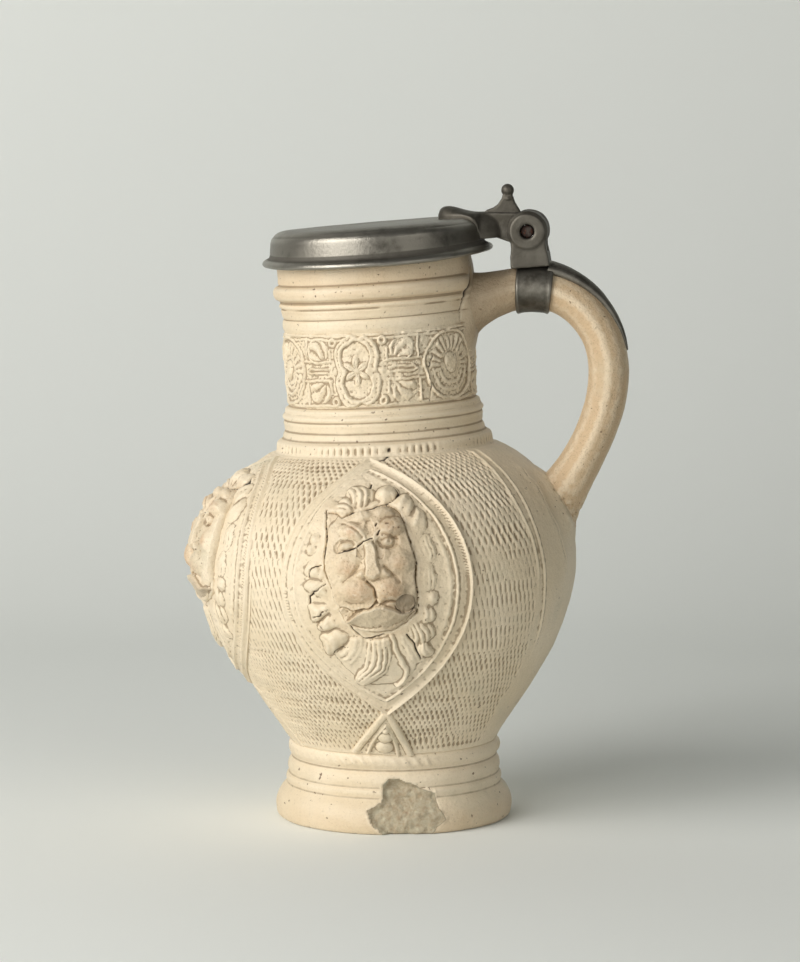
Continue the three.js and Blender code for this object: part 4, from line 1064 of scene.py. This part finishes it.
def faceSurface(x, y, side):
    fromEdge = toLine(x, y, faceEdge + faceEdge[:1])[0]
    straightX, straightY = x, y
    x = x + 0.4 * roughFlat(straightX, straightY, 4, 82)
    y = y + 0.4 * roughFlat(straightX, straightY, 4, 84)
    swell, _, _ = dome(x, y, face["middle"], (17.5, 23.5))
    height = face["edgeHeight"] + (face["crown"] - face["edgeHeight"]) * np.clip(swell, 0, 1) ** 0.8
    for cx, cy, rx, ry, depth in face["hollows"]:
        dip, _, _ = dome(x, y, (cx, cy), (rx, ry))
        height -= depth * np.clip(dip, 0, 1) * (1 if side == 0 else 1.8)
    for cx, cy, rx, ry, turn, top in face["swellings"]:
        lump, _, _ = dome(x, y, (cx, cy), (rx, ry), math.radians(turn))
        rise = 3.4 + (top - 3.4) * np.clip(lump, 0, 1)
        height = np.where(lump > 0, over(height, rise, 0.6), height)
    root, end, narrow, wide, top = face["nose"]
    share = np.clip((root[1] - y) / (root[1] - end[1]), 0, 1)
    half = narrow + (wide - narrow) * share
    away = np.abs(x - root[0] - (end[0] - root[0]) * share)
    bridge = (top - 1.0 + share) * smooth(half + 1.3 - away, -0.4, 1.8)
    bridge *= smooth(y, end[1] - 1.5, end[1] + 0.8) * smooth(-y, -root[1] - 2.0, -root[1] + 2.0)
    height = over(height, bridge, 0.6)
    lipTop, lipLow = np.interp(x, *face["lipTop"]), np.interp(x, *face["lipLow"])
    lip = smooth(lipTop - y, -0.2, 0.3) * smooth(y - lipLow, -0.3, 0.5) * (x > -9.7) * (x < 13.7)
    slope = 7.9 - 3.4 * np.clip((lipTop - y) / np.maximum(lipTop - lipLow, 1), 0, 1) - 0.1 * np.abs(x - 1.2)
    height = height * (1 - lip) + slope * lip
    for line, width, depth in face["grooves"]:
        height -= depth * bell(toLine(x, y, rounded(line))[0], width)
    mouthEdge = toLine(x, y, face["mouth"] + face["mouth"][:1])[0]
    opened = inside(x, y, face["mouth"]) * smooth(mouthEdge, 0, 0.7)
    height = height * (1 - opened) + ((4.0 if side == 0 else 2.4) + 0.7 * roughFlat(x, y, 2.4, 86)) * opened
    wander = 0.4 * roughFlat(straightX, straightY, 1.8, 81, 2)
    crack = cracksAlong(straightX + wander, straightY + wander, face["cracks"])
    height -= 0.9 * crack + 0.5 * bell(np.hypot(x - 6.7, y - 15.4), 0.6)
    chip, chipEdge = np.zeros(len(x)), np.zeros(len(x))
    if side == 0:
        cx, cy, rx, ry = face["chip"]
        _, u, v = dome(straightX, straightY, (cx, cy), (rx, ry), 0.4)
        beyond = (np.hypot(u, v) - 1) * rx + 0.15 * roughFlat(x, y, 1.5, 89)
        chip = 1 - smooth(beyond, -0.3, 0.1)
        chipEdge = bell(beyond - 0.25, 0.3) * smooth(cy - straightY, -0.5, 1.5)
    height = height * (1 - chip) + (5.0 + 0.12 * roughFlat(x, y, 1.6, 83)) * chip - 0.7 * chipEdge
    height += 0.22 * roughFlat(x, y, 4, 85) + 0.13 * roughFlat(x, y, 1.4, 87, 2)
    height -= 0.35 * smooth(grain(x, y, 0 * x, 1.3, 88), 0.55, 0.8) * smooth(-y, 11.5, 13.5)
    whole = smooth(fromEdge, -0.4, 0.9)
    height = np.minimum(height, face["highest"]) * whole + 2.2 * (1 - whole)
    flush = highest(*(bell(np.hypot(x - fx, y - fy), size) for fx, fy, size in face["blushes"]))
    cool = 0.5 * smooth(x, 9, 14)
    # painted shade: on the lip, whose face tips downward, and on the right plate over the face's right half,
    # where the relief lies in shade
    stain = (0.35 + 0.3 * smooth(x, -4, 8)) * lip
    if side == 0:
        stain += 0.55 * smooth(x, -3, 6) * (1 - lip)
    # the open mouth takes some of the crack colour: painted shade in its recess
    return height, {
        "crack": highest(crack, 0.3 * opened, 0.7 * chipEdge), "grey": chip, "stain": stain,
        "flush": flush * 0.75 * (1 - chip) * (1 - lip) - cool * 0.3, "warm": 0.45 - cool - 0.35 * lip,
    }


def faceRing():
    # the face's edge as turn and place round its middle, in the order of the turn
    middle = face["middle"]
    line = fine(faceEdge + faceEdge[:1], 0.3)
    return np.array(sorted((math.atan2(y - middle[1], x - middle[0]), x, y) for x, y in line))


def shapeFace(azimuth, turn, centre, side):
    ring = faceRing()

    def shape(places):
        u, v, level = places.T
        reach = 0.985 * np.maximum(np.abs(u), np.abs(v))
        x, y = (
            middle + reach * (np.interp(np.arctan2(v, u), ring[:, 0], ring[:, k], period=2 * np.pi) - middle)
            for k, middle in enumerate(face["middle"], 1)
        )
        height, marks = faceSurface(x, y, side)
        return laidOn(azimuth, centre, turn, x, y, plaqueHeight(level, height, 1.6, 0.6)), marks

    return shape


# The small sprig under each plate: two crossed legs and two berries
sprig = {
    "columns": 80, "rows": 90, "centre": 10.8, "halfHeight": 10.4, "footHalfWidth": 12.0, "topHalfWidth": 1.8,
    "turn": -6.8, "aside": math.radians(0.5), "frontCrispness": 0.25,
}


def sprigHalf(v):
    return 0.5 * (1 - v) * sprig["footHalfWidth"] + 0.5 * (1 + v) * sprig["topHalfWidth"]


def sprigSurface(x, y, v):
    edge = sprigHalf(v) - np.abs(x)
    height = 0.3 + 0.9 * np.sqrt(np.clip(1 - ((edge - 1.5) / 1.5) ** 2, 0, 1))
    arch = toLine(np.abs(x), y, rounded([(5.6, -10.6), (4.4, -4.6), (1.6, 1.6), (0.0, 4.4)]))[0]
    height = np.maximum(height, 0.3 + 0.9 * bell(arch, 0.6))
    for cy, r in ((-6.6, 2.9), (-1.6, 2.5), (1.9, 1.3)):
        swell, _, _ = dome(x, y, (0.2, cy), (r * 1.1, r))
        height = np.where(swell > 0, over(height, 0.3 + 1.7 * np.clip(swell, 0, 1), 0.2), height)
    height += 0.12 * roughFlat(x, y, 3, 91) + 0.07 * roughFlat(x, y, 1.2, 92, 2)
    return height * smooth(edge, -0.3, 0.5) * smooth(1 - v, -0.01, 0.05) + 0.1


def shapeSprig(azimuth, raised, crispness):
    def shape(places):
        u, v, level = places.T
        x, y = u * sprigHalf(v), v * sprig["halfHeight"]
        height = plaqueHeight(level, crispness * sprigSurface(x, y, v), -0.2, -1.0)
        return laidOn(azimuth, sprig["centre"] + raised * 0.5 * (1 + v), sprig["turn"], x, y, height), {}

    return shape


medallionPlaces = [  # name, azimuth and turn in degrees, how much higher it sits than the right one
    ("right", -88.9, 2.1, 0.0), ("front", -160.0, -7.0, 6.0), ("left", 120.0, -1.2, 2.0),
]
for side, (where, azimuth, turn, raised) in enumerate(medallionPlaces):
    angle, centre = math.radians(azimuth), plate["centre"] + raised
    form = plaque(plate["columns"], plate["rows"])
    shape = shapePlate(angle, turn, centre, side)
    makePiece(f"medallion_{where}_clay", form, bodyClay, stands=(f"medallion_{where}",), shape=shape)
    form = plaque(face["size"], face["size"])
    shape = shapeFace(angle, turn, centre, side)
    makePiece(f"lion_mask_{where}_clay", form, maskClay, stands=(f"lion_mask_{where}",), shape=shape)
    form = plaque(sprig["columns"], sprig["rows"])
    shape = shapeSprig(angle + sprig["aside"], raised, sprig["frontCrispness"] if side == 1 else 1.0)
    makePiece(f"berry_sprig_{where}_clay", form, bodyClay, stands=(f"berry_sprig_{where}",), shape=shape)
print("medallions done")


# The moulded band round the neck. Its drawing is in x round the neck from a cartouche's middle, and in z
# from the band's middle height.
frieze = {
    "steps": 760, "rows": 84, "repeats": 3, "cartoucheAzimuth": -98.3, "ovalTurn": 62.0,
    "lobe": 5.4, "lobeRise": 5.3, "rimWidth": 3.3, "oval": 13.2, "seat": 0.3,
    "split": [(-55, 158), (-53, 165), (-54.5, 171), (-51, 176)],  # a crack, by azimuth and height
    "splitPerDegree": 0.64,
}
friezeRadius = pot["neckRadius"] + 1.3


def cartouche(x, z):
    upper, lower = np.hypot(x, z - frieze["lobeRise"]), np.hypot(x, z + frieze["lobeRise"])
    gap = -over(-upper, -lower, 1.2) - frieze["lobe"]
    rim = smooth(gap, -0.1, 0.5) * smooth(-gap, -frieze["rimWidth"] - 0.3, -frieze["rimWidth"] + 0.4)
    height = 1.25 * rim - 0.25 * bell(gap - 1.7, 0.5) * rim
    turn = np.arctan2(x, z)
    petals = np.abs(np.cos(3 * turn)) ** 0.7 * 5.2
    reach = np.hypot(x, z * 0.86)
    star = smooth(petals - reach, -0.2, 1.4) * (gap < 0) * (reach < 6.5)
    height = np.maximum(height, 1.15 * star - 0.35 * bell(np.abs(np.sin(3 * turn)) * reach, 0.35) * star)
    return over(height, 1.5 * bell(np.hypot(x, z), 1.3), 0.1), gap


def ovalBoss(x, z):
    reach = np.hypot(x / 1.03, z)
    turn = np.arctan2(z, x)
    rays = (0.5 + 0.5 * np.cos(turn * 22)) * smooth(z, -7, 1)
    rays *= smooth(reach, 5.2, 6.4) * smooth(-reach, -11.4 - np.sin(turn * 7), -10.2)
    heart, _, _ = dome(x, z, (0, 0.4), (3.1, 3.4), 0, 0, -0.35)
    return highest(
        1.35 * bell(reach - frieze["oval"] + 0.6, 0.55), 0.95 * rays,
        0.75 * bell(reach - 9.2, 0.6) * smooth(-z, -1, 3), 0.7 * bell(reach - 6.6, 0.6) * smooth(-z, 0, 4),
        1.6 * np.clip(heart, 0, 1) ** 0.7,
    ), reach


def panel(x, z, half, outward):
    # a leafy field over and under a lozenge bar, with a boss and small scrolls beside the cartouche
    x = x * outward
    away = np.abs(z)
    lozenge = 0.9 * bell(away - 0.85 * smooth(half - x, 0, 2.2), 0.34) * (x > -half + 0.5) * (x < half)
    sill = 0.95 * bell(away - 3.6, 0.42) * (x > -half - 0.5)
    farPost = 0.95 * bell(x - half, 0.42) * (away > 3.4) * (away < 12.5)
    nearPost = 0.8 * bell(x + half - 0.4, 0.42) * (away > 3.4) * (away < 8.5)
    fan = np.arctan2(away - 3.4, x + half * 0.5)
    reach = np.hypot(x + half * 0.5, away - 3.4)
    strokes = (0.5 + 0.5 * np.cos(fan * 9 + 0.5 * reach)) ** 0.7 * smooth(reach, 1.0, 2.4)
    leaves = 1.05 * strokes * smooth(-np.hypot(x * 0.8, away - 7.9), -4.4, -3.4)
    arch = 0.9 * bell(np.hypot(x - 0.3, away - 7.6) - 4.2, 0.45) * (z > 0) * smooth(x, -3, 0)
    scroll = 1.1 * bell(np.hypot(x + half + 1.4, away - 11.2) - 1.2, 0.55)
    boss = 1.25 * bell(np.hypot(x + half + 2.0, z), 1.05)
    return highest(lozenge, sill, farPost, nearPost, leaves, arch, scroll, boss)


def friezeSurface(azimuth, z):
    period = 360 / frieze["repeats"]
    perDegree = friezeRadius * math.pi / 180
    cx, cy, level = np.cos(azimuth) * friezeRadius, np.sin(azimuth) * friezeRadius, z
    degrees = np.degrees(azimuth) - frieze["cartoucheAzimuth"] + 0.55 * rough(cx, cy, z, 5, 93, 4) / perDegree
    z = z + 0.5 * rough(cx, cy, z, 5, 94, 4)
    degrees = degrees - period * np.round(degrees / period)
    x = degrees * perDegree
    right, left = frieze["ovalTurn"], period - frieze["ovalTurn"]  # from a cartouche to the ovals beside it
    fromOval = degrees - np.where(degrees > 0.5 * (right - left), right, -left)
    middle = z - pot["friezeBottomZ"] - 0.5 * pot["friezeHeight"]
    height, gap = cartouche(x, middle)
    oval, reach = ovalBoss(fromOval * perDegree, middle)
    height = np.maximum(height, oval)
    between = (gap > frieze["rimWidth"] + 0.2) & (reach > frieze["oval"] + 0.3)
    for turn, half, outward in ((right, 6.4, 1), (left, 5.6, -1)):
        at = outward * 0.5 * (9 + turn * perDegree - frieze["oval"])
        drawn = panel(x - at, middle, half, outward)
        height = np.where(between & (np.abs(x - at) < half + 3.2), np.maximum(height, drawn), height)
    upperLine = 0.8 * bell(middle - 11.9, 0.4) * (reach > frieze["oval"] + 0.2) * (gap > frieze["rimWidth"])
    height = highest(height, 1.1 * bell(middle - 13.3, 0.45), upperLine, 0.9 * bell(middle + 12.9, 0.5))
    worn = 0.4 + 0.55 * smooth(grain(cx, cy, z, 7, 95) + 0.5 * grain(cx, cy, z, 2.5, 96), -0.7, 0.6)
    height = height * worn + frieze["seat"] + 0.28 * rough(cx, cy, z, 2.2, 97, 4)
    height += 0.12 * grain(cx, cy, z, 7, 98)
    split = bell(toLine(np.degrees(azimuth), z, frieze["split"])[0] * frieze["splitPerDegree"], 0.25)
    ragged = 0.8 * rough(cx, cy, 0 * z, 4, 99, 4)
    height *= smooth(level, 158.6 + ragged, 159.9 + ragged) * smooth(-level, -186.9 + ragged, -185.6 + ragged)
    return height - 0.5 * split, {"crack": split * 0.8, "warm": 0.0}


def shapeFrieze(places):
    x, y, z = places.T
    azimuth, radius = np.arctan2(y, x), np.hypot(x, y)
    out = radius > pot["neckRadius"] - 0.3
    height, marks = friezeSurface(azimuth, z)
    grown = np.where(out, (pot["neckRadius"] + height) / radius, 1)
    return sag(x * grown, y * grown, z), marks


wall, bottom = pot["neckRadius"], pot["friezeBottomZ"]
top = bottom + pot["friezeHeight"]
friezeOutline = fine([(wall, bottom), (wall, top)], pot["friezeHeight"] / frieze["rows"])
friezeOutline += [(wall - 1, top - 1), (wall - 1, bottom + 1)]
friezeForm = spun(friezeOutline, frieze["steps"], closed=True)
makePiece(
    "frieze_clay", friezeForm, maskClay, stands=("neck_frieze",), shape=shapeFrieze, rounds=8, depth=0.1,
)
print("frieze done")


# The strap round the handle and its tongue down the handle's back
band = {
    "length": 13.8, "sides": 200, "step": 0.35, "base": 10,  # base lies on the handle
    "tailSteps": (60, 190), "tailShare": 0.33, "tailUnder": 3.0, "tailHalfWidth": 5.3, "tailThickness": 3.5,
}
bandOutline = [
    (9.0, -6.6), (9.9, -6.9), (10.9, -6.85), (11.35, -6.6), (11.5, -6.1), (11.35, -5.4), (11.3, -4.4),
    (11.4, -2.0), (11.45, 1.0), (11.4, 3.6), (11.3, 4.6), (11.35, 5.2), (11.45, 5.8), (11.4, 6.4),
    (11.1, 6.8), (10.2, 6.9), (9.0, 6.7),
]


def shapeBand(places):
    x, y, z = places.T
    turn, height = np.arctan2(y, x), np.hypot(x, y) - band["base"]
    distance = bandMiddle + z * (1 - 0.2 * np.cos(turn))  # a straight strap on a bent bar
    dent = waves(*overHandle(distance, turn, 1).T, (0.16, 9, 111, 2), (0.05, 1.8, 113, 2))
    return overHandle(distance, turn, height + dent * (height > 0.5)), {}


bandForm = spun(fine(rounded(bandOutline, 1), band["step"]), band["sides"], closed=True)
makePiece("strap_band", bandForm, castPewter, "jug", ("handle_band",), shapeBand, depth=0.09)

tailFrom = bandMiddle + 0.5 * band["length"] - band["tailUnder"]
tailLength = band["tailShare"] * (handleLength - tailFrom)


def shapeTail(places):
    u, v, level = places.T
    share = 0.5 + 0.5 * v
    half = band["tailHalfWidth"] * (1 - share ** 1.6) + share
    tipRound = np.sqrt(np.clip(1 - np.clip((share - 0.96) / 0.04, 0, 1) ** 2, 0.02, 1))
    thickness = band["tailThickness"] * (1 - 0.8 * share)
    crown = np.sqrt(np.clip(1 - np.abs(u) ** 3, 0, 1))
    turn = np.arcsin(np.clip(half * tipRound * u / handle["halfWidth"], -0.99, 0.99))
    distance = tailFrom + tailLength * share
    wear = waves(*overHandle(distance, turn, 1).T, (0.14, 8, 115, 2), (0.05, 1.6, 117, 2))
    groove = 0.25 * bell(np.abs(u) - 0.7, 0.09) * smooth(1 - share, 0.1, 0.3)
    top = 0.5 + (thickness - 0.5) * crown * tipRound + wear - groove
    return overHandle(distance, turn, plaqueHeight(level, top, 0.2, -0.7)), {}


tailForm = plaque(*band["tailSteps"])
makePiece("strap_tail", tailForm, castPewter, "jug", ("handle_tail",), shapeTail, depth=0.09)
print("strap done")


# The hinge: cast shapes joined and softened, in the pin's own frame
hinge = {"bore": 2.65, "cheekInner": 3.9, "cheekOuter": 9.3, "tangHalfWidth": 3.55, "webHalfWidth": 3.5}


def slab(form, outline, low, high, bevel):
    # an (x, z) outline given thickness along Y, its edges rounded
    part = bmesh.new()
    corners = [part.verts.new((x, low, z)) for x, z in outline]
    face = part.faces.new(corners)
    grown = bmesh.ops.extrude_face_region(part, geom=[face])["geom"]
    moved = [corner for corner in grown if isinstance(corner, bmesh.types.BMVert)]
    bmesh.ops.translate(part, verts=moved, vec=(0, high - low, 0))
    bmesh.ops.recalc_face_normals(part, faces=part.faces[:])
    sharp = [edge for edge in part.edges if edge.calc_face_angle() > 0.6]
    cut = {"affect": "EDGES", "segments": 3, "profile": 0.5, "material": -1, "clamp_overlap": True}
    bmesh.ops.bevel(part, geom=sharp, offset=bevel, **cut)
    addTo(form, part)


def addTo(form, part):
    mesh = bpy.data.meshes.new("part")
    part.to_mesh(mesh)
    part.free()
    form.from_mesh(mesh)
    bpy.data.meshes.remove(mesh)


def ringAcross(form, outline, steps=96):
    # a closed (radius, y) outline turned about the pin's axis
    part = spun(outline, steps, closed=True)
    acrossHinge(part)
    addTo(form, part)


def castPiece(name, form, body, stands, voxel, wear=0.1, relax=4):
    # one skin over the joined parts, softened, then worn unevenly and set on its hinge
    mesh = bpy.data.meshes.new(name)
    bmesh.ops.recalc_face_normals(form, faces=form.faces[:])
    form.to_mesh(mesh)
    form.free()
    draft = toScene(name, mesh)
    skin = draft.modifiers.new("skin", "REMESH")
    skin.mode = "VOXEL"
    skin.voxel_size = voxel
    ease = draft.modifiers.new("ease", "SMOOTH")
    ease.factor = 0.5
    ease.iterations = relax
    whole = bpy.data.meshes.new_from_object(draft.evaluated_get(bpy.context.evaluated_depsgraph_get()))
    bpy.data.objects.remove(draft)
    form = bmesh.new()
    form.from_mesh(whole)
    bpy.data.meshes.remove(whole)

    def shape(places):
        x, y, z = places.T
        away = np.maximum(np.hypot(x, z), 1e-3)
        offset = waves(x, y, z, (wear, 5, 121, 2), (0.35 * wear, 1.3, 123, 2)) * smooth(away, 4, 6) / away
        return (places + np.stack([x * offset, 0 * x, z * offset], 1)) @ hingeTurn.T + np.array(pin), {}

    return makePiece(name, form, hingePewter, body, stands, shape, rounds=12, depth=0.14, sharp=60)


cheekRing = [
    (hinge["bore"], hinge["cheekInner"]), (7.2, hinge["cheekInner"]), (7.6, 4.3), (7.7, 6.0), (7.7, 8.3),
    (7.4, 8.8), (6.9, 9.05), (6.6, 9.5), (6.2, 9.85), (3.5, 9.9), (3.0, 9.7), (hinge["bore"], 9.4),
]
cheekFoot = [
    (-7.0, -12.9), (-6.9, -9.0), (-6.5, -6.0), (-6.6, -3.2), (-2.6, -3.0), (2.6, -3.0), (6.6, -3.2),
    (6.5, -6.0), (7.0, -9.0), (7.4, -12.9),
]
blockForm = bmesh.new()
for side in (-1, 1):
    ringAcross(blockForm, [(r, side * y) for r, y in cheekRing])
    slab(blockForm, cheekFoot, *sorted((side * hinge["cheekInner"], side * hinge["cheekOuter"])), 0.6)
slab(blockForm, [(-7.2, -13.4), (-7.0, -8.2), (7.0, -8.2), (7.4, -13.4)], -9.4, 9.4, 0.6)
castPiece("hinge_fork", blockForm, "jug", ("hinge_block",), 0.3)

pinOutline = [
    (0, -8.3), (1.6, -8.25), (2.2, -8.0), (2.45, -7.5), (2.45, 7.5), (2.2, 8.0), (1.6, 8.25), (0, 8.3),
]
pinForm = spun(fine(pinOutline, 0.3), 64)
acrossHinge(pinForm)


def shapePin(places):
    x, y, z = places.T
    offset = 1 + (0.12 * rough(x, y, z, 1.6, 131) - 0.05) / 2.5
    return np.stack([x * offset, y, z * offset], 1) + np.array(pin), {}


makePiece("rusty_pin", pinForm, pinIron, stands=("hinge_pin",), shape=shapePin, depth=0.1)
print("hinge block done")

# The lid: its outline from the top's middle round the flange and back inside
lid = {"steps": 440, "step": 0.42, "top": 2.55, "droop": 2.3}
lidOutline = [
    (0, 2.35), (20, 2.48), (30, 2.52), (34.3, 2.45), (36.3, 2.1), (37.6, 1.5), (38.3, 0.9), (38.8, 0.3),
    (39.3, -0.1), (39.75, -0.9), (39.95, -1.7), (40.15, -3.0), (40.45, -5.0), (40.65, -6.3), (41.2, -6.95),
    (42.3, -7.3), (43.1, -7.7), (43.6, -8.4), (43.6, -9.0), (43.1, -9.5), (42.0, -9.7), (40.9, -9.65),
    (39.6, -9.1), (39.3, -8.0),
]
lidInside = [(39.0, -1.0), (37.9, 0.3), (20, 0.35), (0, 0.35)]


def shapeLid(places):
    x, y, z = places.T
    radius = np.maximum(np.hypot(x, y), 1e-6)
    near = np.clip(0.5 - 0.5 * y / radius, 0, 1)
    dent = 0.28 * rough(x, y, z, 30, 141, 2) * (z > 0.5) * smooth(radius, 0, 8) - 0.12
    ripple = 0.03 * np.sin(radius * 2.9) * smooth(radius, 5, 12) * smooth(-radius, -34, -30) * (z > 1.5)
    wave = 0.18 * rough(x, y, z * 0, 12, 143, 2) * smooth(radius, 41, 43.4)
    bent = lid["droop"] * smooth(lid["top"] - z, 2.5, 12.3) * near ** 2
    height = np.minimum(z + np.minimum(dent, 0.0) + ripple + wave - bent, lid["top"] - 0.01)
    pushed = 1 + 0.1 * rough(x, y, z, 14, 145, 2) / radius * (radius > 30)
    local = np.stack([x * pushed, y * pushed, height], 1) + np.array(lidPlace)
    return local @ hingeTurn.T + np.array(pin), {}


lidForm = spun(fine(rounded(lidOutline, 1), lid["step"]) + lidInside, lid["steps"])
makePiece("lid_cap", lidForm, lidPewter, "lid", ("lid",), shapeLid, depth=0.08, sharp=60)
print("lid done")


# The lid's own half of the hinge: a web from the knuckle that spreads into a leaf on the lid
leaf = {"columns": 70, "rows": 130, "tip": -33.4, "length": 27.4, "edge": 1.3, "lowest": -1.4}


def leafTop(x):
    # height of the leaf's ridge over the pin
    knob = bezier((-33.4, 8.2), (-32.6, 10.9), (-31.6, 11.5), (-29.3, 11.4), 20)
    fall = bezier((-29.3, 11.4), (-26, 11.2), (-23, 8.7), (-17.5, 8.4), 20)
    rest = bezier((-17.5, 8.4), (-11, 8.1), (-5, 7.8), (-2, 7.0), 20)
    line = np.vstack([knob, fall[1:], rest[1:]])
    return np.interp(x, line[:, 0], line[:, 1])


def leafHalf(x):
    width = bezier((-33.5, 0.6), (-33.3, 4.6), (-27.5, 6.9), (-20.5, 8.7), 24)
    neckIn = bezier((-20.5, 8.7), (-16.5, 9.2), (-13.5, 6.2), (-10.2, 3.6), 24)
    line = np.vstack([width, neckIn[1:], [(0, 3.55)]])
    return np.interp(x, line[:, 0], line[:, 1])


def lidUnder(x, y):
    # what the leaf lies on: the lid's top, then its side, over the pin
    side = [(0, 2.4), (34.3, 2.3), (37.6, 1.3), (39.3, -0.2), (40.2, -3), (40.6, -6.0), (46, -6.0)]
    return lidPlace.z + np.interp(np.hypot(x - lidPlace.x, y), *zip(*side))


def leafSheet():
    form = plaque(leaf["columns"], leaf["rows"])
    mesh = bpy.data.meshes.new("leaf")
    form.to_mesh(mesh)
    u, v, level = readPlaces(mesh).T
    x = leaf["tip"] + leaf["length"] * (0.5 + 0.5 * v)
    y = u * leafHalf(x)
    crown = np.clip(1 - np.abs(u) ** 2.6, 0, 1) ** 0.8
    low = np.maximum(lidUnder(x, y), leaf["lowest"])
    edge = np.minimum(low + leaf["edge"], leafTop(x))
    z = plaqueHeight(level, edge + (leafTop(x) - edge) * crown, low + 0.3, np.maximum(low - 1.2, -1.6))
    mesh.vertices.foreach_set("co", np.stack([x, y, z], 1).astype(np.float32).ravel())
    form.clear()
    form.from_mesh(mesh)
    bpy.data.meshes.remove(mesh)
    return form


tangForm = leafSheet()
web = [
    (-3.0, -5.2), (-8.0, -3.4), (-12.0, -1.6), (-16.6, -1.4), (-19.0, 3.2), (-17.5, 8.0), (-11.0, 7.8),
    (-2.0, 6.9),
]
slab(tangForm, web, -hinge["webHalfWidth"], hinge["webHalfWidth"], 0.5)
bore, width = hinge["bore"], hinge["tangHalfWidth"]
knuckle = [
    (bore, -width), (7.0, -width), (7.5, -width + 0.4), (7.5, width - 0.4), (7.0, width), (bore, width),
]
ringAcross(tangForm, knuckle)
castPiece("lid_leaf", tangForm, "lid", ("lid_tang",), 0.32, wear=0.08)

# The thumbpiece: a fin with a little ball
thumbForm = bmesh.new()
fin = [
    (-16.8, 7.6), (-15.0, 8.9), (-12.6, 9.6), (-10.6, 10.8), (-9.2, 12.6), (-8.4, 14.6), (-8.0, 15.2),
    (-5.4, 15.2), (-4.9, 13.4), (-4.2, 11.0), (-3.0, 8.6), (-2.0, 6.6), (-6.0, 6.0),
]
thumb = {"x": -6.7, "ballZ": 15.7, "ballRadius": 2.4, "rings": [(12.6, 2.1, 0.9), (13.6, 1.8, 0.8)]}
slab(thumbForm, fin, -1.7, 1.7, 0.7)
for height, radius, thick in thumb["rings"]:
    bmesh.ops.create_cone(
        thumbForm, cap_ends=True, segments=40, radius1=radius, radius2=radius, depth=thick,
        matrix=Matrix.Translation((thumb["x"], 0, height)),
    )
place = Matrix.Translation((thumb["x"], 0, thumb["ballZ"]))
bmesh.ops.create_uvsphere(thumbForm, u_segments=40, v_segments=24, radius=thumb["ballRadius"], matrix=place)
castPiece("thumb_ball", thumbForm, "lid", ("thumbpiece",), 0.2, wear=0.06, relax=3)
print("pewter done")


# Floor, light and camera
stage = {
    "camera": (math.radians(5.5), 1400, 285), "aimZ": 127.6, "aimRight": 2.28, "lens": 139,
    "sweepDepth": 900, "sweepHeight": 2600, "sweepRadius": 500, "front": 2500, "halfWidth": 3000,
}


def pointTo(item, target):
    item.rotation_euler = (Vector(target) - item.location).to_track_quat("-Z", "Y").to_euler()


angle, distance, height = stage["camera"]
cameraData = bpy.data.cameras.new("camera")
camera = toScene("camera", cameraData)
camera.location = Vector((distance * math.sin(angle), -distance * math.cos(angle), height)) * mm
aim = Vector((stage["aimRight"] * math.cos(angle), stage["aimRight"] * math.sin(angle), stage["aimZ"])) * mm
pointTo(camera, aim)
cameraData.lens = stage["lens"]
cameraData.sensor_width = 36
cameraData.sensor_fit = "AUTO"
cameraData.dof.use_dof = False
bpy.context.scene.camera = camera


def sheet():
    # a floor that sweeps up into the backdrop
    form = bmesh.new()
    depth, tall, bend = (stage[key] for key in ("sweepDepth", "sweepHeight", "sweepRadius"))
    line = [(-stage["front"], 0), (depth - bend, 0)]
    for a in np.linspace(0.1, math.pi / 2, 24):
        line.append((depth - bend + bend * math.sin(a), bend - bend * math.cos(a)))
    line.append((depth, tall))
    corners = [form.verts.new((-stage["halfWidth"], y, z)) for y, z in line]
    edges = [form.edges.new(pair) for pair in zip(corners[:-1], corners[1:])]
    grown = bmesh.ops.extrude_edge_only(form, edges=edges)["geom"]
    moved = [part for part in grown if isinstance(part, bmesh.types.BMVert)]
    bmesh.ops.translate(form, verts=moved, vec=(2 * stage["halfWidth"], 0, 0))
    bmesh.ops.recalc_face_normals(form, faces=form.faces[:])
    bmesh.ops.scale(form, verts=form.verts[:], vec=(mm, mm, mm))
    bmesh.ops.rotate(form, verts=form.verts[:], cent=(0, 0, 0), matrix=Matrix.Rotation(angle, 3, "Z"))
    mesh = bpy.data.meshes.new("backdrop")
    form.to_mesh(mesh)
    form.free()
    mesh.shade_smooth()
    return mesh


paper = Finish("paper backdrop")
paperColour = paper.mix(paper.noise(700, 1), rgb(241, 244, 241), rgb(236, 239, 235))
backdropPaper = paper.close(paperColour, 0.9, paper.noise(60, 1) * 0.02)
backdrop = toScene("backdrop", sheet())
backdrop.data.materials.append(backdropPaper)

lights = [  # name, place, aim, size, watts, colour
    ("key", (-1170, -920, 800), (0, 0, 110), (900, 1200), 18.5, (1.0, 0.975, 0.94)),
    ("front", (-700, -1450, 600), (0, 0, 110), (900, 900), 12.0, (1.0, 0.985, 0.96)),
    ("fill", (1300, -1500, 700), (0, 0, 110), (1400, 1400), 6.2, (1.0, 0.98, 0.93)),
]
for name, place, target, size, watts, colour in lights:
    lampData = bpy.data.lights.new(name, "AREA")
    lampData.shape = "RECTANGLE"
    lampData.size, lampData.size_y = size[0] * mm, size[1] * mm
    lampData.energy = watts
    lampData.color = colour
    lamp = toScene(name, lampData)
    lamp.location = Vector(place) * mm
    pointTo(lamp, Vector(target) * mm)

world = bpy.data.worlds.new("studio")
bpy.context.scene.world = world
world.use_nodes = True
world.node_tree.nodes["Background"].inputs["Color"].default_value = rgb(214, 216, 214)
world.node_tree.nodes["Background"].inputs["Strength"].default_value = 0.12
bpy.context.scene.view_settings.view_transform = "Standard"
print("stage done")


def plain(box):
    return [[float(value) for value in corner] for corner in box]
